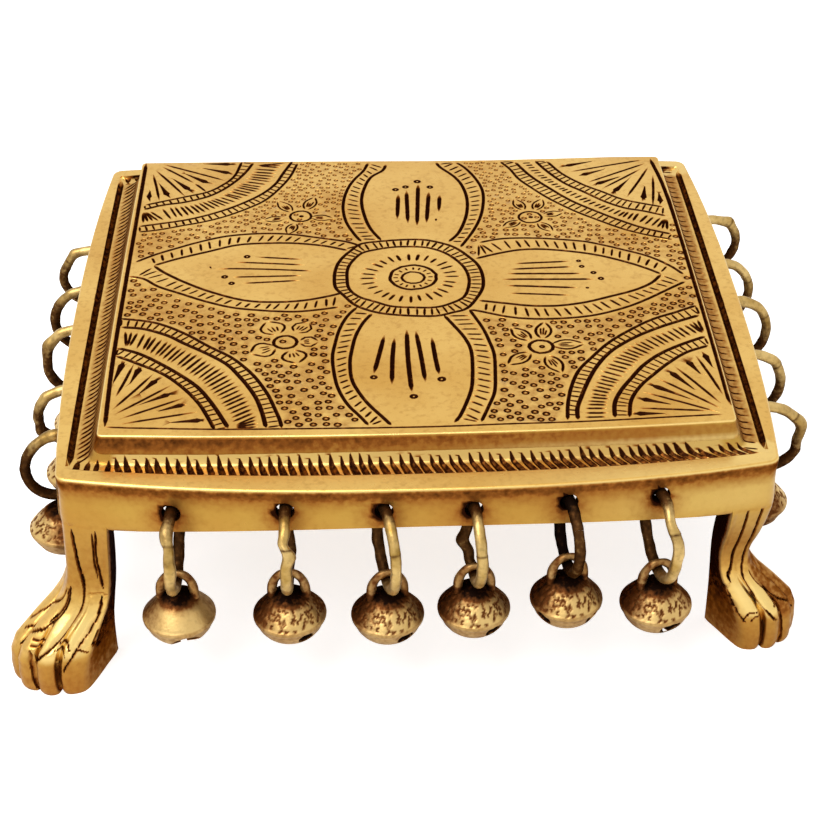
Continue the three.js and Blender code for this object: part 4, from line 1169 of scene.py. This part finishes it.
def finishCasting(body, known):
    # Patina, tarnish and wear by place: what the chisel left, brown rings round the holes, painted shade
    # under the rim's edge, a duller skirt that is partly painted shade, and dark inner faces, which on the legs
    # are painted shade
    near = nearestOf([point for point, *_ in known])
    spots = [(vertex.co - tableMiddle) * 1000 for vertex in body.data.vertices]
    within = inside([(x, y) for x, y, _ in spots], outlineOf(rim, 2.4))
    holes = [(side, at) for side, _, at, _ in hangers()]
    wallFoot, wallTop = 44.2, 57.75
    marks = np.zeros((3, len(spots)))
    for i, spot in enumerate(spots):
        _, which, away = near.find(spot)
        if away < 0.3 and (spot.z < wallFoot or spot.z > 57.98 or (spot.z > 57 and away < 0.02)):
            marks[:, i] = known[which][1:]
        if spot.z < wallFoot or spot.z > wallTop:
            continue
        if within[i]:
            if spot.z < 57.2:
                marks[:, i] = 0.62, 0.5, 0
            continue
        if away < 0.02 and spot.z > 57.3 and known[which][1]:
            continue
        # painted shade under the rim's edge: the top of the skirt is darkened, and its foot a little
        marks[0, i] = np.interp(spot.z, (44.4, 46, 50.5, 54, 55.4, 57.2, 57.5),
                                (0.12, 0.02, 0, 0.2, 0.42, 0.55, 0))
        # the skirt's faces are dulled as tarnish, and partly as painted shade for the darker reflection they
        # show
        marks[1, i] = np.interp(spot.z, (44, 50, 57, 57.3), (0.75, 0.85, 1, 0.1))
        rightFront = (np.interp(spot.x, (30, 80), (0, 0.3)) * np.interp(spot.y, (-76, -68), (1, 0))
                      * np.interp(spot.z, (44.5, 48, 52, 55), (0, 1, 1, 0)))
        marks[2, i] = max(np.interp(spot.z, (57.4, 57.6), (0, 0.85)), rightFront)
        for side, hole in holes:
            if abs(spot.x - hole.x) < 8 and abs(spot.y - hole.y) < 8:
                across = (spot.x - hole.x if side in ("front", "back") else spot.y - hole.y) + 0.4
                gap = math.hypot(across, spot.z - hole.z + 0.2)
                stain = 1 if gap < 2.25 else 0.4 * math.exp(-(gap - 2.25) / 2)
                if gap >= 2.25 and spot.z < hole.z:  # it ran down below the hole
                    stain += 0.17 * math.exp(-abs(across) / 5)
                marks[0, i] = max(marks[0, i], stain)
    for name, values in zip(("patinaAndShade", "tarnishAndShade", "rubbedAndReflected"), marks):
        addAttribute(body, name, values)


engravedPanel()
castingBody()
print("casting done")


# Rings: one oval of wire each, cut through on the outer strand. Each has its width and length as shares of
# an 18 mm ring, its lean in degrees, how brown it is, and its bends and lumps: the angle round from the
# outer strand's middle (downwards), the shift sideways and outwards and the swelling in mm, and its spread.

ringSpecs = {
    "front": [
        (1.02, 1.08, 12, 0.05, [(-44, -0.5, 0, 0.5, 14), (-20, 0.25, 0, -0.35, 8), (6, 0.35, 0, 0.25, 18),
                                (200, 0.4, 0, 0.1, 25)]),
        (1.025, 1.1, 12, 0, [(-28, -0.45, 0, -0.3, 8), (-11, 1.0, 0, 0.4, 11), (18, 0.2, 0, 0.1, 20),
                             (150, 0.5, 0, 0.2, 15)]),
        (1.025, 1.11, 12, 0, [(-10, 0.1, 0, 0, 30), (170, -0.2, 0, 0.25, 12)]),
        (0.98, 1.04, 12, 0, [(12, 0.2, 0, 0.1, 25), (160, -1.5, 0, 0.6, 13), (132, -0.4, 0, -0.2, 10)]),
        (0.93, 1.0, 12, 0.42, [(0, 0.2, 0, 0, 30), (186, 0.2, 0, 0.2, 15)]),
        (1.08, 1.19, 12, 0, [(-38, -0.5, 0, -0.2, 14), (-4, 0.75, 0, 0.2, 18), (30, 0.2, 0, 0.1, 20),
                             (180, -0.3, 0, 0.1, 20)])],
    "left": [
        (1.07, 0.95, 12, 0, [(-48, 0, 0.9, 0.25, 12), (-15, 0, -0.4, 0, 15)]),
        (1.01, 1.01, 10, 0.1, [(-60, 0, 0.3, 0, 15)]),
        (0.98, 1.08, 11, 0, [(-50, 0, 0.5, 0.2, 9), (-22, 0.3, 0.4, 0.75, 12), (8, 0, -0.3, 0, 15)]),
        (0.94, 0.85, 8, 0, [(-42, 0, 0.5, 0.1, 10), (38, 0, 0.9, 0.35, 12)]),
        (0.89, 0.98, 20, 0.1, [(-68, 0, 0.3, 0.75, 12)])],
    "right": [
        (1.09, 1.03, 14, 0, [(-12, 0, 0.5, 0.5, 12), (20, 0, -0.9, 0, 14)]),
        (0.94, 1.01, 16, 0, [(-30, 0, 0.4, 0.1, 14)]),
        (1.07, 1.07, 15, 0, [(-66, 0, 0.3, 0.9, 9), (-35, 0, 0.3, 0.1, 15)]),
        (0.96, 0.99, 15, 0, [(-45, 0, 0.3, 0.1, 12)]),
        (1.07, 0.93, 21, 0, [(-28, 0, 0.6, 0.7, 11)])],
}
# Painted shade on the strands, by the angle round the ring from the outer strand's middle: darker on the
# inner strand and in the hole, lighter on the upper outer arc
strandShade = {
    "front": ((0, 60, 85, 110, 150, 215, 240, 290, 310, 330, 360),
              (0, 0.02, 0.2, 0.45, 0.38, 0.4, 0.5, 0.5, 0.12, 0.02, 0)),
    "left": ((0, 60, 120, 200, 270, 292, 325, 345, 360), (0.38, 0.4, 0.42, 0.45, 0.22, 0.03, 0.08, 0.3, 0.38)),
    "right": ((0, 40, 90, 200, 270, 290, 330, 350, 360), (0.22, 0.42, 0.48, 0.5, 0.2, 0.02, 0.03, 0.14, 0.22))}
strandShade["back"] = strandShade["front"]
ringSpecs["back"] = ringSpecs["front"]
wireRadius, ringRadius, cutWidth = 1.36, 9, 0.012  # a ring's radius is to the middle of its wire


def ringPiece(side, number, at, joint):
    widthShare, lengthShare, lean, brown, bends = ringSpecs[side][number - 1]
    a, b = ringRadius * widthShare, ringRadius * lengthShare
    outward = Vector(joint["axis"]).normalized()
    if outward.dot(Vector(outwards[side])) < 0:
        outward = -outward
    along = Vector((0, 0, 1)).cross(outward)
    lean = math.radians(lean)
    gap, cutAt = cutWidth / b, math.radians(number * 37 % 30 - 34)  # each ring is cut at another place
    steps, sides = 120, 16
    points, faces, marks, before = [], [], [], None
    for k in range(steps + 1):
        angle = cutAt + gap / 2 + (2 * math.pi - gap) * k / steps
        shift, grow, swell = 0, 0, 0
        for middle, sideways, outwardsBy, thicker, spread in bends:
            away = (math.degrees(angle) - middle + 180) % 360 - 180
            share = math.exp(-(away / spread) ** 2)
            shift += share * sideways
            grow += share * outwardsBy
            swell += share * thicker
        hammered = noise.noise(Vector((number * 7.3, angle * 3.2, len(side)))) * 0.12
        out, up = (a + grow) * math.cos(angle), -b - (b + grow * 0.3) * math.sin(angle)
        radial = Vector((math.cos(angle) / a, -math.sin(angle) / b)).normalized()
        spot = (out * math.cos(lean) - up * math.sin(lean), out * math.sin(lean) + up * math.cos(lean))
        way = (radial[0] * math.cos(lean) - radial[1] * math.sin(lean),
               radial[0] * math.sin(lean) + radial[1] * math.cos(lean))
        centre = at + outward * spot[0] + Vector((0, 0, spot[1])) + along * shift
        radialWay = outward * way[0] + Vector((0, 0, way[1]))
        free = min(1, abs(math.cos(angle)) * 1.6)
        loop = []
        for i in range(sides):
            t = 2 * math.pi * i / sides
            dent = noise.noise(Vector((number * 3.1 + math.cos(t), angle * 5, math.sin(t)))) * 0.13
            r = wireRadius + free * (swell * 0.5 + hammered + dent - 0.06)
            loop.append(tuple(centre + r * (radialWay * math.cos(t) + along * math.sin(t))))
            # painted shade on the inner strand and on the side of the wire that faces the ring's middle; brown
            # in patches and at the cut
            inner = np.interp(math.degrees(angle) % 360, *strandShade[side])
            inner *= np.interp(math.cos(t), (-1, 1), (1.15, 0.85))
            cutEnd = 0.3 if k in (0, steps) else 0
            patch = 0.16 * max(0, noise.noise(Vector((angle * 2.2, number * 5.7, 0.4))))
            marks.append(max(brown + inner, cutEnd) + patch)
        before = stack(points, faces, [loop], before)
        if k == 0:
            faces.append(tuple(before))
    faces.append(tuple(before))
    name = f"ring_{side}_{number}"
    piece = bareObject(f"wire_{name}", points, faces)
    settle(piece, name, wireBrass, (name,), 40)
    addAttribute(piece, "patinaAndShade", marks)


for side, number, at, joint in hangers():
    ringPiece(side, number, at, joint)
print("rings done")


# Bells: each one cast as a crown and a bowl with a seam, a wire eye on top, slots below and a loose pellet.
# The middle of the eye's wire, where it hangs on its ring, is at the origin while a bell is made.

bellShape = {
    "profile": [(0, 6.35), (1.5, 6.3), (2.9, 5.95), (4.1, 5.25), (5.2, 4.3), (6.2, 3.25), (7.1, 2.2),
                (7.8, 1.35), (8.2, 0.75), (8.5, 0.45), (8.57, 0), (8.5, -0.45), (8.2, -0.8), (7.95, -1.5),
                (7.45, -2.7), (6.7, -3.8), (5.6, -4.85), (4.2, -5.6), (2.5, -6), (0, -6.1)],
    "crown": 6.4, "wall": 0.9, "eyeRise": 5.75, "eyeWidth": 9.6, "eyeWire": 0.85, "pellet": 2.1,
    "pelletDrop": 5.1, "slotWidth": 1.5, "slotLength": 11, "slotHeight": 5.7, "hookReach": 0.3,
    "hookDepth": 0.18}
# Each bell's slot, turned from straight outwards, the radius of its widened ends and how far out and down
# they are, and how the crown is worked
bellSpecs = {
    "front": [
        ((16,), 3.6, 6.4, 4.2, "brushed"),
        ((30,), 1.9, 7.4, 2.3, "chased"),
        ((32,), 2.1, 7.4, 2.2, "chased"),
        ((34,), 2.1, 7.4, 2, "chased"),
        ((47, -49), 2.2, 7.9, 1.9, "chased"),
        ((22,), 2.7, 7.1, 2.5, "chased")],
    "left": [((40,), 1.9, 7.4, 2.3, "chased")] * 5,
    "right": [((-35,), 2.1, 7.4, 2.2, "chased")] * 5,
}
bellSpecs["back"] = bellSpecs["front"]
seamDown = bellShape["crown"] + bellShape["eyeRise"]


def lathe(profile, steps):
    mesh = bpy.data.meshes.new("lathed")
    mesh.from_pydata([Vector((r, 0, z - seamDown)) * 0.001 for r, z in profile],
                     [(i, i + 1) for i in range(len(profile) - 1)], [])
    turned = bpy.data.objects.new("lathed", mesh)
    bpy.context.collection.objects.link(turned)
    select(turned)
    bpy.ops.object.mode_set(mode="EDIT")
    bpy.ops.mesh.select_all(action="SELECT")
    bpy.ops.mesh.spin(steps=steps, angle=2 * math.pi, center=(0, 0, 0), axis=(0, 0, 1))
    bpy.ops.mesh.select_all(action="SELECT")
    bpy.ops.mesh.remove_doubles(threshold=0.00001)
    bpy.ops.object.mode_set(mode="OBJECT")
    faceOutwards(turned)
    return turned


def bellModel():
    crown, bowl = bellShape["profile"][:12], bellShape["profile"][11:]
    outer = np.vstack((smoothCurve(crown, 0.33), smoothCurve(bowl, 0.9)[1:]))
    thin = 1 - bellShape["wall"] / 8.6
    shell = smoothCurve([(r * thin, z * (1 - bellShape["wall"] / 6)) for r, z in bellShape["profile"]], 1)
    bell = lathe(outer, 136)
    cut(bell, [lathe(shell, 48)], "DIFFERENCE")
    return bell


def hooks(seed):
    # Little curled strokes in rows round the crown, as points on it
    rng = np.random.default_rng(seed)
    found = []
    for share, count in ((4.1, 13), (4.9, 17), (5.7, 20), (6.4, 23), (7.1, 26), (7.7, 28)):
        for k in range(count):
            turn = 2 * math.pi * (k + rng.uniform(-0.25, 0.25) + share) / count
            r = share + rng.uniform(-0.25, 0.25)
            start, sweep = rng.uniform(0, 360), rng.choice((-1, 1)) * rng.uniform(80, 200)
            size = rng.uniform(0.25, 0.5)
            for t in np.linspace(0, 1, 6):
                q = math.radians(start + sweep * t)
                u, v = size * math.cos(q), size * math.sin(q)
                found.append((turn + u / r, r + v * 0.8))
    return np.array(found)


def chase(bell):
    # Sinks the curled strokes into the crown and says how dark each point is
    marks = hooks(17)
    profile = np.array(bellShape["profile"][:11])
    height = np.interp(marks[:, 1], profile[:, 0], profile[:, 1]) - seamDown
    spots = np.column_stack((marks[:, 1] * np.cos(marks[:, 0]), marks[:, 1] * np.sin(marks[:, 0]), height))
    near = nearestOf(spots)
    for vertex in bell.data.vertices:
        co = vertex.co * 1000
        if co.z + seamDown < 0.3:
            continue
        away = near.find(co)[2] / bellShape["hookReach"]
        if away < 1:
            vertex.co -= vertex.normal * (bellShape["hookDepth"] / 1000) * (1 - away ** 2)
    return near


def eyeModel():
    wire, rise = bellShape["eyeWire"], bellShape["eyeRise"]
    reach, height = bellShape["eyeWidth"] / 2 - wire, rise + 1.25
    points, faces, before = [], [], None
    for k in range(33):
        t = k / 32
        x = -reach * math.cos(math.pi * t)
        z = -height + (height * math.sin(math.pi * t) ** 0.7 if 0 < t < 1 else 0)
        dx = reach * math.pi * math.sin(math.pi * t) + 1e-3
        dz = height * 0.7 * math.pi * math.cos(math.pi * t) / max(math.sin(math.pi * t), 0.02) ** 0.3
        n = math.hypot(dx, dz)
        normal = (-dz / n, dx / n)
        r = wire + 0.25 * min(1, abs(2 * t - 1) * 1.4) + 0.05 * math.sin(23 * t)
        loop = [(x + r * math.cos(q) * normal[0], r * math.sin(q), z + r * math.cos(q) * normal[1])
                for q in (2 * math.pi * i / 14 for i in range(14))]
        before = stack(points, faces, [loop], before)
        if k == 0:
            faces.append(tuple(before))
    faces.append(tuple(before))
    return bareObject("eye", [Vector(p) - tableMiddle * 1000 for p in points], faces)


def slotTools(turn, mouth, out, down):
    bowlFoot = bellShape["profile"][-1][1]
    bpy.ops.mesh.primitive_cube_add(size=1, location=(0, 0, (bowlFoot - seamDown) * 0.001))
    slot = bpy.context.object
    slot.scale = [bellShape[size] * 0.001 for size in ("slotLength", "slotWidth", "slotHeight")]
    slot.rotation_euler = (0, 0, turn)
    bpy.ops.object.transform_apply(location=True, rotation=True, scale=True)
    tools = [slot]
    for way in (0, math.pi):
        bpy.ops.mesh.primitive_uv_sphere_add(segments=20, ring_count=12, radius=mouth * 0.001, location=(
            out * math.cos(turn + way) * 0.001, out * math.sin(turn + way) * 0.001, (-down - seamDown) * 0.001))
        tools.append(bpy.context.object)
        bpy.ops.object.transform_apply(location=True)
    return tools


def bellPieces(name, joint, models):
    node = name[6:]
    side, number = node.split("_")[1:]
    slotTurns, *mouth, work = bellSpecs[side][int(number) - 1]
    across = Vector(joint["axis"]).normalized()
    turn = Matrix((across, Vector((0, 0, 1)).cross(across), (0, 0, 1))).transposed()
    outward = turn.transposed() @ Vector(outwards[side])
    facing = math.atan2(outward.y, outward.x)
    model, near = models[work]
    bell = bpy.data.objects.new(f"cast_{node}", model.data.copy())
    bpy.context.collection.objects.link(bell)
    for slotTurn in slotTurns:
        cut(bell, slotTools(facing + math.radians(slotTurn), *mouth), "DIFFERENCE")
    marks, wearAndSheen = [], []  # how dark and how rubbed each point is
    radii, heights = zip(*bellShape["profile"][::-1])
    for vertex in bell.data.vertices:
        co = vertex.co * 1000
        r, up = math.hypot(co.x, co.y), co.z + seamDown
        azimuth = (math.atan2(co.y, co.x) - facing + math.pi) % (2 * math.pi) - math.pi
        # only the front of the crown is rubbed bright; the left is darker than the right
        sideways = np.interp(azimuth, (-3.2, -1.5, -0.8, -0.25, 0.85, 1.5, 3.2),
                             (0.55, 0.6, 0.34, 0, 0, 0.36, 0.5))
        sideways *= 1 if near else 0.55
        top = np.interp(r, (3, 4.2, 5.2, 6.2), (0.78, 0.5, 0.16, 0))
        mark = max(sideways, top) if up > 0.5 else max(0.17, 0.7 * sideways)
        if up > 6.6:
            mark = 0.2 + 0.3 * abs(noise.noise(co * 0.5))
        elif up < 6 and r < np.interp(up, heights, radii) - 0.4:
            mark = 0.95  # inside
        elif near and up > 0.3:
            away = near.find(co)[2]
            mark = max(mark, 0.75 * (1 - away / 0.33) + 0.1 if away < 0.33 else 0)
        marks.append(mark)
        wearAndSheen.append(0.4 * max(0, 1 - 2.5 * mark) if -0.5 < up < 6 else 0)
    bell.data.transform(Matrix.Translation(joint["pos_m"]) @ turn.to_4x4())
    settle(bell, node, bellBrass, (node,), 35)
    addAttribute(bell, "patinaAndShade", marks)
    addAttribute(bell, "rubbedAndReflected", wearAndSheen)
    bpy.ops.mesh.primitive_ico_sphere_add(subdivisions=3, radius=bellShape["pellet"] * 0.001, location=(
        joint["pos_m"][0], joint["pos_m"][1],
        joint["pos_m"][2] + (bellShape["pellet"] - seamDown - bellShape["pelletDrop"]) * 0.001))
    pellet = bpy.context.object
    pellet.name = "pellet_" + node[5:]
    bpy.ops.object.transform_apply(location=True)
    settle(pellet, node, bellBrass, (), 60)
    addAttribute(pellet, "patinaAndShade", [0.6] * len(pellet.data.vertices))


brushed = bellModel()
chased = brushed.copy()
chased.data = brushed.data.copy()
bpy.context.collection.objects.link(chased)
hookTree = chase(chased)
for model in (brushed, chased):
    cut(model, [eyeModel()], "UNION")
for name, joint in joints.items():
    if name.startswith("swing_bell_"):
        bellPieces(name, joint, {"brushed": (brushed, None), "chased": (chased, hookTree)})
for model in (brushed, chased):
    bpy.data.objects.remove(model)
print("bells done")


# Floor, background and lamps. The light on the object is plain; only what the camera and the metal see
# of the floor and the background is lifted to white.

studio = {
    "floorSize": 3, "floorColour": "f4f4f4", "floorRough": 0.7, "floorLift": 0.2, "cameraLift": 0.5,
    "dome": 0.66, "keyAt": (-0.35, -0.3, 0.85), "keyTarget": (0, 0, 0.05), "keySize": 0.7, "keyPower": 5.8}


def seenShare(tree):
    path = addNode(tree, "ShaderNodeLightPath", {})
    mirrored = addNode(tree, "ShaderNodeMath", {
        0: path.outputs["Is Glossy Ray"], 1: path.outputs["Is Transmission Ray"]}, operation="MAXIMUM")
    return addNode(tree, "ShaderNodeMath", {0: path.outputs["Is Camera Ray"], 1: mirrored}, operation="MAXIMUM")


bpy.ops.mesh.primitive_plane_add(size=studio["floorSize"], location=(0, 0, 0))
floor = bpy.context.object
floor.name = "floor"
floorPaint, tree, shader = newMaterial("pale_floor_paint")
shader.inputs["Base Color"].default_value = linear(studio["floorColour"])
shader.inputs["Roughness"].default_value = studio["floorRough"]
shader.inputs["Emission Color"].default_value = (1, 1, 1, 1)
lift = addNode(tree, "ShaderNodeMath", {0: seenShare(tree), 1: studio["floorLift"]}, operation="MULTIPLY")
seen = addNode(tree, "ShaderNodeLightPath", {}).outputs["Is Camera Ray"]
lift = addNode(tree, "ShaderNodeMath", {0: seen, 1: studio["cameraLift"], 2: lift}, operation="MULTIPLY_ADD")
tree.links.new(lift.outputs[0], shader.inputs["Emission Strength"])
floor.data.materials.append(floorPaint)

world = bpy.data.worlds.new("studio")
bpy.context.scene.world = world
world.use_nodes = True
background = world.node_tree.nodes["Background"]
background.inputs["Color"].default_value = (1, 1, 1, 1)
strength = addNode(world.node_tree, "ShaderNodeMapRange",
                   {"Value": seenShare(world.node_tree), "To Min": studio["dome"], "To Max": 1.0})
world.node_tree.links.new(strength.outputs[0], background.inputs["Strength"])
bpy.context.scene.view_settings.view_transform = "Standard"

bpy.ops.object.light_add(type="AREA", location=studio["keyAt"])
key = bpy.context.object
key.name = "key"
aim = Vector(studio["keyTarget"]) - Vector(studio["keyAt"])
key.rotation_euler = aim.to_track_quat("-Z", "Y").to_euler()
key.data.size, key.data.energy = studio["keySize"], studio["keyPower"]
print("studio done")
